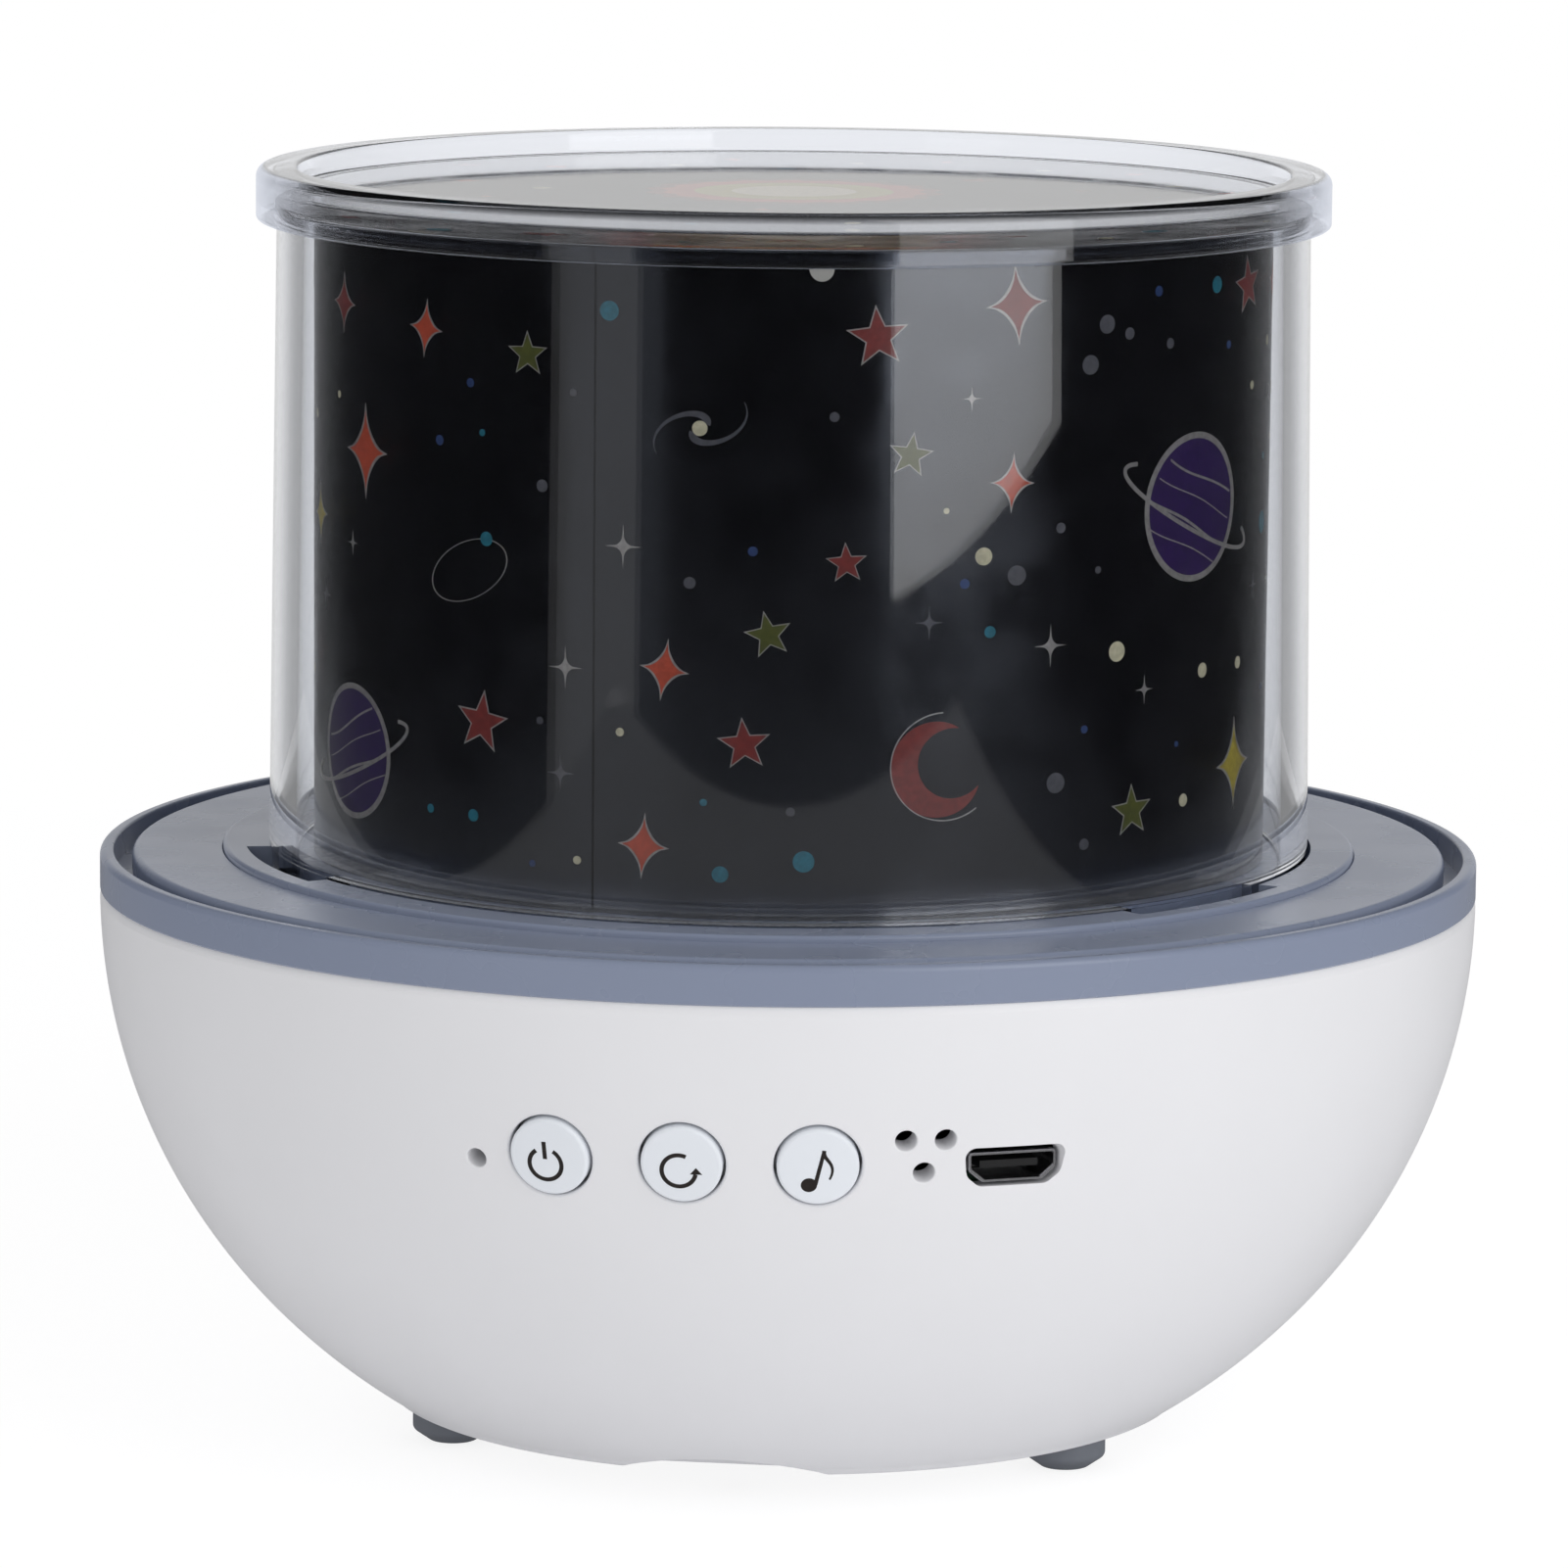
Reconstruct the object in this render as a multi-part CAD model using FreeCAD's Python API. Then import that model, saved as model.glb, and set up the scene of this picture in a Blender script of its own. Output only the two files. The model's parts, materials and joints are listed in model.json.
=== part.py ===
import FreeCAD, Part
import math
import os

# Star projector: a white bowl with a bezel, a motor-driven turntable, a fixed lamp on a post,
# and a clear cover with a printed film that twist-locks on the turntable.
# Millimetres. Z is up, the floor is z = 0, the front with the buttons is -Y.
# Azimuth 0 is the front and grows anticlockwise seen from above.

# Whole object
outer_r = 60.0
base_h = 50.75
cover_h = 59.3
foot_h = 2.65

# Clearances
gap = 0.3
run_fit = 0.05
seat = 0.05
overrun = 2.0

# Bowl
ring_h = 3.4
bowl_wall = 2.2
bowl_floor = 2.2
bowl_depth_share = 1.2045
bowl_height_power = 2.03
bowl_radius_power = 2.09
bowl_band_count = 7
bowl_inner_band_count = 7

# Bezel and deck
ring_land = 1.2
shelf_drop = 2.4
shelf_w = 6.3
well_wall = 2.0
deck_floor = 1.8
deck_floor_drop = 8.25
locating_lip_h = 2.0
ring_round = 0.35

# Screw posts of the bowl, screws and feet
post_count = 3
post_azimuth = 60.0
post_pitch_share = 0.515
post_r = 4.0
post_top_drop = 22.75
post_cap = 2.0
post_bore_r = 2.7
post_screw_r = 1.1
post_screw_head_r = 2.3
post_screw_head_h = 1.7
post_screw_grip = 7.0
foot_r = 3.5
foot_flat_r = 2.0
foot_shoulder_share = 0.4

# Scoop in the front edge of the bowl's floor
scoop_w = 17.7
scoop_h = 1.8
scoop_wall = 1.6

# Battery bay, door and cells
cell_count = 3
cell_r = 5.2
cell_l_share = 0.728
cell_nub_r = 1.9
cell_nub_h = 0.8
cell_gap = 0.5
contact_space = 2.2
contact_t = 0.4
contact_r = 3.6
bay_wall = 1.4
bay_ledge = 1.0
door_tab_w = 12.0
door_tab_l = 5.6
door_hook_w = 5.0
door_hook_t = 1.2
door_hook_reach = 1.7
door_grip_count = 5
door_grip_w = 0.6
door_grip_depth = 0.3
door_screw_r = 1.0
door_screw_head_r = 1.9
door_screw_head_h = 1.0
door_screw_l = 8.0
door_boss_r = 2.4

# Turntable disc
disc_gap = 1.6
disc_t = 2.0
disc_edge = 0.6
web_t = 2.0
hub_bore_r = 9.05
hub_wall = 2.45
channel_floor = 1.5
channel_depth = 2.4
channel_wall = 1.6

# Raised plate with the bayonet slots and the collar
plate_margin = 4.0
plate_rise = 0.55
plate_t = 2.0
plate_hole_r = 13.0
plate_screw_pitch_share = 0.6
plate_screw_r = 1.0
plate_screw_head_r = 2.0
plate_screw_head_h = 1.1
collar_t = 0.9
collar_h = 5.5
pocket_azimuth = 58.0
pocket_angle = 23.0
slot_angle = 77.0
bayonet_count = 3

# Clear cover
cover_r_share = 0.755
cover_wall = 2.3
tab_t = 1.3
tab_reach = 1.8
tab_play = 1.0

# Printed film
film_t = 0.3
film_play = 1.6
film_lap_angle = 5.0
film_lap_azimuth = -19.4

# Lid
lid_overhang = 1.1
lid_rim_w = 3.6
lid_recess = 2.0
lid_plate = 1.0
lid_skirt = 1.5
lid_edge = 0.8
lid_nub_r = 1.0
lid_nub_azimuth = 11.2
top_film_play = 1.4
top_film_t = 0.25

# Drive gears and motor
gear_module = 0.8
gear_tooth_count = 50
pinion_tooth_count = 14
gear_face = 2.6
pinion_face = 3.0
tooth_tip_share = 0.9
tooth_root_share = 1.25
tooth_thickness_share = 0.44
pressure_angle = 20.0
flank_point_count = 3
motor_azimuth = 120.0
shaft_r = 1.5
motor_clearance = 3.35
gearbox_r = 11.0
gearbox_h_share = 0.45
gearbox_nose_r = 3.0
gearbox_nose_h = 2.0
ear_t = 1.3
ear_w = 6.0
ear_reach = 14.0
motor_r = 10.0
motor_screw_r = 0.9
motor_screw_head_r = 1.7
motor_screw_head_h = 1.1

# Spindle and lamp
spindle_bore_r = 5.0
post_flange_r = 12.0
post_flange_t = 1.5
lamp_column_r = 5.0
lamp_wire_r = 2.6
lamp_column_h = 12.0
lamp_spigot_h = 4.0
lamp_head_h = 3.0
lamp_rim = 1.7
lamp_screw_pitch_r = 7.2
lamp_screw_r = 0.8
lamp_screw_head_r = 1.5
lamp_screw_head_h = 1.0
lamp_screw_l = 5.0
led_board_r = 9.5
led_board_t = 1.2
led_pitch_r = 3.4
led_side = 2.2
led_h = 0.8
led_count = 4
lamp_screw_count = 3
lamp_cap_wall = 1.2
lamp_cap_h = 8.0

# Front controls
control_drop = 16.75
button_r = 3.35
button_hole_r = 3.6
button_proud = 0.25
button_edge = 0.2
button_azimuth = 10.9
button_travel = 0.5
flange_gap = 0.6
flange_t = 0.8
flange_w_share = 0.0167
stem_r = 1.3
stem_l = 1.6
contact_gap = 0.1
plunger_r = 1.6
plunger_h = 0.8
switch_side_share = 0.1
switch_h = 3.1
board_t = 1.2
board_left_share = 0.283
board_right_share = 0.223
board_top_gap = 0.75
board_down = 7.5
lug_x = 5.05
lug_w = 4.0
lug_t = 4.0
lug_screw_drop = 4.5
board_screw_r = 0.8
board_screw_head_r = 1.5
board_screw_head_h = 0.9
board_screw_l = 4.0
pilot_hole_r = 0.85
pilot_azimuth = -17.4
pilot_drop = 17.5
pilot_led_w_share = 0.033
pilot_led_h = 1.25
pilot_led_t = 0.8

# Sound holes and speaker
sound_hole_r = 0.9
sound_azimuth = 19.45
sound_spread = 1.6
sound_upper_drop = 14.65
sound_lower_drop = 17.45
speaker_y_share = -0.4
magnet_r_share = 0.115
magnet_h = 4.0
magnet_rib = 1.2
magnet_rib_h = 2.0
basket_r_share = 0.232
basket_h = 3.5
basket_t = 0.8
cone_t = 0.4

# Charging socket
socket_azimuth = 27.0
socket_drop = 17.3
socket_w = 7.5
socket_h = 2.45
socket_depth = 6.5
socket_metal = 0.25
socket_recess = 0.6
socket_corner_w = 1.15
socket_corner_h = 0.95
socket_play = 0.33
insert_back = 1.6
tongue_w = 5.0
tongue_t = 0.6
tongue_l = 4.0
charge_board_t = 1.2
charge_board_w_share = 0.233
charge_board_l = 9.5
charge_board_set_back = 4.4
charge_rib_w = 2.4
charge_rib_h = 4.0
charge_screw_inset = 2.2

# Small screws
head_side_count = 12
shank_side_count = 6

# Sizes that follow the object's width
post_pitch_r = outer_r * post_pitch_share
cell_l = outer_r * cell_l_share
cover_r = outer_r * cover_r_share
plate_r = cover_r + plate_margin
plate_screw_pitch_r = outer_r * plate_screw_pitch_share
lid_r = cover_r + lid_overhang
flange_w = outer_r * flange_w_share
switch_side = outer_r * switch_side_share
pilot_led_w = outer_r * pilot_led_w_share
board_left_w = outer_r * board_left_share
board_right_w = outer_r * board_right_share
charge_board_w = outer_r * charge_board_w_share
speaker_y = outer_r * speaker_y_share
magnet_r = outer_r * magnet_r_share
basket_r = outer_r * basket_r_share

# Levels and radii that follow
lip_z = base_h - ring_h
bowl_depth = (lip_z - foot_h) * bowl_depth_share
bowl_floor_z = foot_h + bowl_floor
shelf_z = base_h - shelf_drop
deck_z = base_h - deck_floor_drop
deck_under_z = deck_z - deck_floor
groove_r = outer_r - ring_land
disc_r = groove_r - disc_gap
well_r = groove_r - shelf_w
web_top_z = base_h + plate_rise - plate_t
web_under_z = web_top_z - web_t
plate_z = web_top_z
plate_top_z = plate_z + plate_t
hub_r = hub_bore_r + hub_wall
hub_z = deck_z + gap
spindle_r = hub_bore_r - run_fit
post_flange_z = web_top_z - gap
hub_top_z = post_flange_z - seat - seat
cover_z = plate_top_z + seat
cover_inner_r = cover_r - cover_wall
lid_top_z = base_h + cover_h
lid_plate_z = lid_top_z - lid_recess - lid_plate
cover_top_z = lid_plate_z - seat
lid_skirt_z = lid_plate_z - lid_skirt
film_r = cover_inner_r - film_play
top_film_r = cover_inner_r - top_film_play
film_top_z = lid_plate_z - seat - top_film_t - gap
collar_out_r = film_r - film_t - film_t - gap
collar_in_r = collar_out_r - collar_t
slot_in_r = cover_inner_r - gap
slot_out_r = cover_r + gap
tab_out_r = cover_r + tab_reach
pocket_out_r = tab_out_r + gap
channel_in_r = slot_in_r - gap
channel_out_r = pocket_out_r + gap + gap
channel_z = web_top_z - channel_depth
tab_top_z = plate_z - gap
gear_r = gear_module * gear_tooth_count / 2
pinion_r = gear_module * pinion_tooth_count / 2
axle_distance = gear_r + pinion_r
pinion_top_z = web_under_z - gap - seat
pinion_z = pinion_top_z - pinion_face
gear_z = pinion_z + (pinion_face - gear_face) / 2
post_top_z = base_h - post_top_drop
lamp_head_z = post_flange_z + post_flange_t + lamp_column_h
lamp_head_top_z = lamp_head_z + lamp_head_h
lamp_head_r = led_board_r + gap + lamp_rim
control_z = base_h - control_drop
bay_half_w = (cell_count * (2 * cell_r + cell_gap) + cell_gap) / 2
bay_half_l = (cell_l + cell_nub_h) / 2 + contact_space
bay_top_z = bowl_floor_z + 2 * cell_r + gap + gap
motor_room = deck_under_z - bay_top_z - bay_wall - motor_clearance
gearbox_h = motor_room * gearbox_h_share
motor_h = motor_room - gearbox_h - seat - seat
door_half_w = bay_half_w + bay_ledge
door_half_l = bay_half_l + bay_ledge
cell_z = bowl_floor_z + gap + cell_r
side_y = FreeCAD.Vector(0, 1, 0)
up = FreeCAD.Vector(0, 0, 1)
origin = FreeCAD.Vector(0, 0, 0)


def save(name, shape):
    """Write one piece to its own file."""
    shape.exportStep(f"parts/{name}.step")


def revolve(points, sweep=360):
    """Turn a closed outline of (radius, height) points about the vertical axis."""
    corners = [FreeCAD.Vector(r, 0, z) for r, z in points]
    wire = Part.makePolygon(corners + corners[:1])
    return Part.Face(wire).revolve(origin, up, sweep)


def disc(radius, low, high):
    """Make a solid round plate between two heights."""
    return Part.makeCylinder(radius, high - low, FreeCAD.Vector(0, 0, low))


def tube(inner, outer, low, high):
    """Make a round wall between two radii and two heights."""
    return revolve([(inner, low), (outer, low), (outer, high), (inner, high)])


def sector(inner, outer, low, high, azimuth, sweep):
    """Make a piece of a round wall that starts at an azimuth and sweeps anticlockwise."""
    piece = revolve([(inner, low), (outer, low), (outer, high), (inner, high)], sweep)
    return turned(piece, azimuth - 90)


def block(x, y, z):
    """Make a box from three (low, high) pairs."""
    corner = FreeCAD.Vector(x[0], y[0], z[0])
    return Part.makeBox(x[1] - x[0], y[1] - y[0], z[1] - z[0], corner)


def turned(shape, azimuth):
    """Turn a shape about the vertical axis of the object."""
    copy = shape.copy()
    copy.rotate(origin, up, azimuth)
    return copy


def moved(shape, x, y, z):
    """Move a shape by an offset."""
    copy = shape.copy()
    copy.translate(FreeCAD.Vector(x, y, z))
    return copy


def placed(shape, frame):
    """Carry a shape from its own frame to its place on the object."""
    copy = shape.copy()
    copy.Placement = frame.multiply(copy.Placement)
    return copy


def joined(pieces):
    """Fuse pieces into one body and drop the seams inside it."""
    return pieces[0].multiFuse(pieces[1:]).removeSplitter()


def rod(radius, low, high):
    """Make a cylinder along Y, from one depth to another."""
    return Part.makeCylinder(radius, high - low, FreeCAD.Vector(0, low, 0), side_y)


def around(shape, count, first):
    """Repeat a shape at even azimuths about the vertical axis."""
    return [turned(shape, first + 360 / count * i) for i in range(count)]


def prism(radius, side_count, low, high):
    """Make an upright bar with equal flat sides, its corners on a radius."""
    corners = []
    for i in range(side_count + 1):
        turn = 2 * math.pi * i / side_count
        corners.append(FreeCAD.Vector(radius * math.cos(turn), radius * math.sin(turn), low))
    return Part.Face(Part.makePolygon(corners)).extrude(up * (high - low))


def screw(shank_r, head_r, head_h, length):
    """Make a small screw that stands on its tip, its head above z = 0."""
    head = prism(head_r, head_side_count, 0, head_h)
    return joined([head, prism(shank_r, shank_side_count, -length, 0)])


def bowl_r(z):
    """Give the bowl's outer radius at a height, on a squared-off ellipse."""
    depth_share = (lip_z - z) / bowl_depth
    return outer_r * (1 - depth_share ** bowl_height_power) ** (1 / bowl_radius_power)


def bowl_tilt(z):
    """Give the angle by which the bowl's surface faces down at a height."""
    return math.degrees(math.atan2(bowl_r(z + seat) - bowl_r(z - seat), seat + seat))


def bowl_level(share):
    """Give a height on the bowl, evenly round its curve from the lip (0) to the floor (1)."""
    full_turn = math.asin((lip_z - foot_h) / bowl_depth)
    return lip_z - bowl_depth * math.sin(full_turn * share)


def bowl_inner_r(z):
    """Give the radius of the bowl's inner face at a height."""
    tilt = math.radians(bowl_tilt(min(z, lip_z - gap)))
    return bowl_r(z) - bowl_wall / math.cos(tilt)


def wall_frame(azimuth, z, tilt):
    """Give the frame of a feature on the bowl's surface: Y goes in, X to the right."""
    turn = FreeCAD.Rotation(up, azimuth)
    lean = FreeCAD.Rotation(FreeCAD.Vector(1, 0, 0), tilt)
    place = turn.multVec(FreeCAD.Vector(0, -bowl_r(z), z))
    return FreeCAD.Placement(place, turn * lean)


button_tilt = bowl_tilt(control_z)
board_frame = wall_frame(0, control_z, button_tilt)
plunger_depth = bowl_wall + flange_gap + flange_t + stem_l + button_travel + contact_gap
switch_depth = plunger_depth + plunger_h
board_depth = switch_depth + switch_h
board_rise = (board_depth + board_t) * math.sin(math.radians(button_tilt))
board_room = (deck_under_z - control_z - board_rise) / math.cos(math.radians(button_tilt))
board_up = board_room - board_top_gap


def axis_on_board(azimuth):
    """Find where a button's axis meets the plane of the switch plungers, and how deep."""
    frame = wall_frame(azimuth, control_z, button_tilt)
    to_board = board_frame.inverse().multiply(frame)
    start = to_board.multVec(origin)
    way = to_board.Rotation.multVec(side_y)
    depth = (plunger_depth - start.y) / way.y
    return start + way * depth, depth


def make_bowl():
    """Make the white bowl with its posts, battery bay and front openings."""
    outside = []
    for i in range(bowl_band_count + 1):
        z = bowl_level(1 - i / bowl_band_count)
        outside.append((bowl_r(z), z))
    inside = []
    for i in range(bowl_inner_band_count):
        z = bowl_level(i / bowl_inner_band_count)
        inside.append((bowl_inner_r(z), z))
    inside.append((bowl_inner_r(bowl_floor_z), bowl_floor_z))
    shell = revolve([*outside, *inside, (0, bowl_floor_z), (0, foot_h)])

    post = moved(disc(post_r, foot_h, post_top_z), 0, -post_pitch_r, 0)
    post_bore = disc(post_bore_r, foot_h - overrun, post_top_z - post_cap)
    post_hole = disc(post_screw_r + seat, foot_h, post_top_z + overrun)
    bores = joined([post_bore, post_hole])
    bores.translate(FreeCAD.Vector(0, -post_pitch_r, 0))

    bay = block(
        (-bay_half_w - bay_wall, bay_half_w + bay_wall),
        (-bay_half_l - bay_wall, bay_half_l + bay_wall),
        (foot_h, bay_top_z + bay_wall),
    )
    hollow = block((-bay_half_w, bay_half_w), (-bay_half_l, bay_half_l), (foot_h, bay_top_z))
    door_room = make_door_plate(seat * 4, foot_h - overrun, bowl_floor_z)
    boss_y = -door_half_l - door_tab_l / 2
    boss = moved(disc(door_boss_r, foot_h, bay_top_z), 0, boss_y, 0)
    boss_hole = disc(door_screw_r + seat, foot_h, foot_h + door_screw_l + overrun)
    boss_hole.translate(FreeCAD.Vector(0, boss_y, 0))
    hooks = [
        block(
            (x - gap - door_hook_w / 2, x + gap + door_hook_w / 2),
            (bay_half_l - overrun, bay_half_l + bay_wall + gap),
            (bowl_floor_z, bowl_floor_z + door_hook_t + gap),
        )
        for x in (-bay_half_w / 2, bay_half_w / 2)
    ]

    flat_r = bowl_r(foot_h)
    scoop_r = (scoop_w ** 2 / 4 + scoop_h ** 2) / (2 * scoop_h)
    scoop_z = foot_h + scoop_h - scoop_r
    scoop_l = flat_r - door_half_l - door_tab_l
    scoop = Part.makeCylinder(
        scoop_r, scoop_l + overrun + overrun, FreeCAD.Vector(0, -flat_r - overrun, scoop_z), side_y
    )
    scoop_back = Part.makeCylinder(
        scoop_r + scoop_wall, scoop_l + gap, FreeCAD.Vector(0, -flat_r + bowl_wall, scoop_z), side_y
    )
    scoop_back = scoop_back.common(block((-scoop_w, scoop_w), (-flat_r, 0), (foot_h, bay_top_z)))

    socket_frame = wall_frame(socket_azimuth, base_h - socket_drop, 0)
    board_z = -socket_h / 2 - charge_board_t
    ribs = [
        block(
            (x - charge_rib_w / 2, x + charge_rib_w / 2),
            (bowl_wall, charge_board_set_back + charge_board_l),
            (board_z - charge_rib_h, board_z),
        )
        for x in charge_screw_places()
    ]
    rib_holes = [
        moved(disc(board_screw_r + seat, board_z - charge_rib_h, board_z), x, charge_screw_y(), 0)
        for x in charge_screw_places()
    ]

    body = joined([shell, *around(post, post_count, post_azimuth), bay, boss, scoop_back]
                  + [placed(rib, socket_frame) for rib in ribs])
    cuts = around(bores, post_count, post_azimuth) + [hollow, door_room, boss_hole, scoop, *hooks]
    for azimuth in (-button_azimuth, 0, button_azimuth):
        hole = rod(button_hole_r, -overrun, plunger_depth)
        cuts.append(placed(hole, wall_frame(azimuth, control_z, button_tilt)))
    for azimuth, drop, radius in small_holes():
        z = base_h - drop
        hole = rod(radius, -overrun, bowl_wall + overrun)
        cuts.append(placed(hole, wall_frame(azimuth, z, bowl_tilt(z))))
    cuts.append(placed(socket_profile(socket_play, -overrun, bowl_wall + overrun), socket_frame))
    cuts += [placed(hole, socket_frame) for hole in rib_holes]
    return body.cut(cuts)


def small_holes():
    """List the pilot light hole and the three sound holes: azimuth, drop and radius."""
    return [
        (pilot_azimuth, pilot_drop, pilot_hole_r),
        (sound_azimuth - sound_spread, sound_upper_drop, sound_hole_r),
        (sound_azimuth + sound_spread, sound_upper_drop, sound_hole_r),
        (sound_azimuth, sound_lower_drop, sound_hole_r),
    ]


def charge_screw_places():
    """Give the two sideways places of the charging board's screws."""
    side = charge_board_w / 2 - charge_screw_inset
    return (-side, side)


def charge_screw_y():
    """Give the depth of the charging board's screws."""
    return charge_board_set_back + charge_board_l - charge_screw_inset


def socket_profile(grow, front, back):
    """Make the socket's outline, flat on top with cut lower corners, as a prism along Y."""
    half_w = socket_w / 2 + grow
    half_h = socket_h / 2 + grow
    corner_w = socket_corner_w
    corner_h = socket_corner_h
    points = [
        (-half_w, half_h), (half_w, half_h), (half_w, -half_h + corner_h),
        (half_w - corner_w, -half_h), (-half_w + corner_w, -half_h), (-half_w, -half_h + corner_h),
    ]
    corners = [FreeCAD.Vector(x, front, z) for x, z in points]
    face = Part.Face(Part.makePolygon(corners + corners[:1]))
    return face.extrude(FreeCAD.Vector(0, back - front, 0))


def make_door_plate(grow, low, high):
    """Make the battery door's flat outline, a rectangle with a tab to the front."""
    plate = block(
        (-door_half_w - grow, door_half_w + grow), (-door_half_l - grow, door_half_l + grow), (low, high)
    )
    tab = block(
        (-door_tab_w / 2 - grow, door_tab_w / 2 + grow),
        (-door_half_l - door_tab_l - grow, -door_half_l), (low, high),
    )
    return joined([plate, tab])


def make_door():
    """Make the battery door with its two hooks, screw seat and finger lip."""
    plate = make_door_plate(0, foot_h, bowl_floor_z - seat)
    hooks = [
        block(
            (x - door_hook_w / 2, x + door_hook_w / 2),
            (bay_half_l - gap - door_hook_reach, bay_half_l + bay_wall - seat),
            (bowl_floor_z + seat, bowl_floor_z + seat + door_hook_t - gap),
        )
        for x in (-bay_half_w / 2, bay_half_w / 2)
    ]
    roots = [
        block(
            (x - door_hook_w / 2, x + door_hook_w / 2),
            (bay_half_l - gap - door_hook_reach, bay_half_l - gap),
            (foot_h, bowl_floor_z + seat),
        )
        for x in (-bay_half_w / 2, bay_half_w / 2)
    ]
    boss_y = -door_half_l - door_tab_l / 2
    hole = moved(disc(door_screw_r + seat, foot_h - overrun, bowl_floor_z), 0, boss_y, 0)
    sink = moved(disc(door_screw_head_r + seat, foot_h - overrun, foot_h + door_screw_head_h), 0, boss_y, 0)
    body = joined([plate, *hooks, *roots])
    grips = [
        block(
            (-door_half_w / 2, door_half_w / 2),
            (y, y + door_grip_w),
            (foot_h - overrun, foot_h + door_grip_depth),
        )
        for y in [-door_half_l / 2 - 2 * door_grip_w * i for i in range(door_grip_count)]
    ]
    return body.cut([hole, sink] + grips)


def make_foot():
    """Make one rubber foot at the front: a bevelled pad with a flat, bonded over a screw bore."""
    shoulder_z = foot_h * foot_shoulder_share
    foot = revolve([(0, 0), (foot_flat_r, 0), (foot_r, shoulder_z), (foot_r, foot_h), (0, foot_h)])
    return moved(foot, 0, -post_pitch_r, 0)


def make_deck():
    """Make the bezel ring and, in one moulding, the sunk deck with its spindle and bosses."""
    lip_out_r = bowl_inner_r(lip_z - locating_lip_h) - gap
    shell = revolve([
        (spindle_bore_r, deck_under_z),
        (well_r + well_wall, deck_under_z),
        (well_r + well_wall, lip_z - locating_lip_h),
        (lip_out_r, lip_z - locating_lip_h),
        (lip_out_r, lip_z),
        (outer_r, lip_z),
        (outer_r, base_h - ring_round),
        (outer_r - ring_round, base_h),
        (groove_r, base_h),
        (groove_r, shelf_z),
        (well_r, shelf_z),
        (well_r, deck_z),
        (hub_r, deck_z),
        (hub_r, hub_z - seat),
        (spindle_r, hub_z - seat),
        (spindle_r, post_flange_z - seat),
        (spindle_bore_r, post_flange_z - seat),
    ])
    boss = moved(disc(post_r - seat, post_top_z + seat, deck_z), 0, -post_pitch_r, 0)
    boss_hole = disc(post_screw_r + seat, post_top_z, post_top_z + post_screw_grip + overrun)
    boss_hole.translate(FreeCAD.Vector(0, -post_pitch_r, 0))
    magnet_ring = tube(magnet_r + seat, magnet_r + magnet_rib, deck_under_z - magnet_rib_h, deck_under_z)
    magnet_ring.translate(FreeCAD.Vector(0, speaker_y, 0))
    lugs = []
    lug_holes = []
    for x in (-lug_x, lug_x):
        lug = block(
            (x - lug_w / 2, x + lug_w / 2),
            (board_depth + board_t, board_depth + board_t + lug_t),
            (-board_down, board_left_w),
        )
        lug = placed(lug, board_frame)
        lugs.append(lug.common(disc(outer_r, 0, deck_z)))
        hole = rod(board_screw_r + seat, board_depth, board_depth + board_t + board_screw_l)
        lug_holes.append(placed(moved(hole, x, 0, -lug_screw_drop), board_frame))
    nose_hole = moved(
        disc(gearbox_nose_r + gap, deck_under_z - overrun, deck_z + overrun), 0, -axle_distance, 0
    )
    ear_holes = [
        moved(disc(motor_screw_r + seat, deck_under_z - overrun, deck_z + overrun), x, -axle_distance, 0)
        for x in (-ear_reach, ear_reach)
    ]
    lamp_hole = disc(lamp_screw_r + seat, post_flange_z - lamp_screw_l - gap, post_flange_z)
    lamp_holes = around(moved(lamp_hole, 0, -lamp_screw_pitch_r, 0), lamp_screw_count, 0)
    body = joined([shell, magnet_ring, *around(boss, post_count, post_azimuth), *lugs])
    cuts = around(boss_hole, post_count, post_azimuth) + lug_holes + lamp_holes
    cuts += [turned(hole, motor_azimuth) for hole in [nose_hole, *ear_holes]]
    return body.cut(cuts)


def make_turntable():
    """Make the turntable: hub, web, tab channel and the outer disc with its rounded edge."""
    channel_floor_z = channel_z - channel_floor
    disc_under_z = base_h - disc_t
    plate_edge_r = plate_r + seat
    body = revolve([
        (hub_bore_r, hub_z), (hub_r, hub_z), (hub_r, web_under_z),
        (channel_in_r - channel_wall, web_under_z),
        (channel_in_r - channel_wall, channel_floor_z),
        (channel_out_r + channel_wall, channel_floor_z),
        (channel_out_r + channel_wall, disc_under_z),
        (disc_r, disc_under_z), (disc_r, base_h - disc_edge), (disc_r - disc_edge, base_h),
        (plate_edge_r, base_h), (plate_edge_r, web_top_z),
        (channel_out_r, web_top_z), (channel_out_r, channel_z),
        (channel_in_r, channel_z), (channel_in_r, web_top_z),
        (post_flange_r + gap, web_top_z), (post_flange_r + gap, hub_top_z), (hub_bore_r, hub_top_z),
    ])
    hole = disc(plate_screw_r + seat, web_under_z - overrun, web_top_z + overrun)
    hole.translate(FreeCAD.Vector(0, -plate_screw_pitch_r, 0))
    return body.cut(around(hole, bayonet_count, 0))


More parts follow.
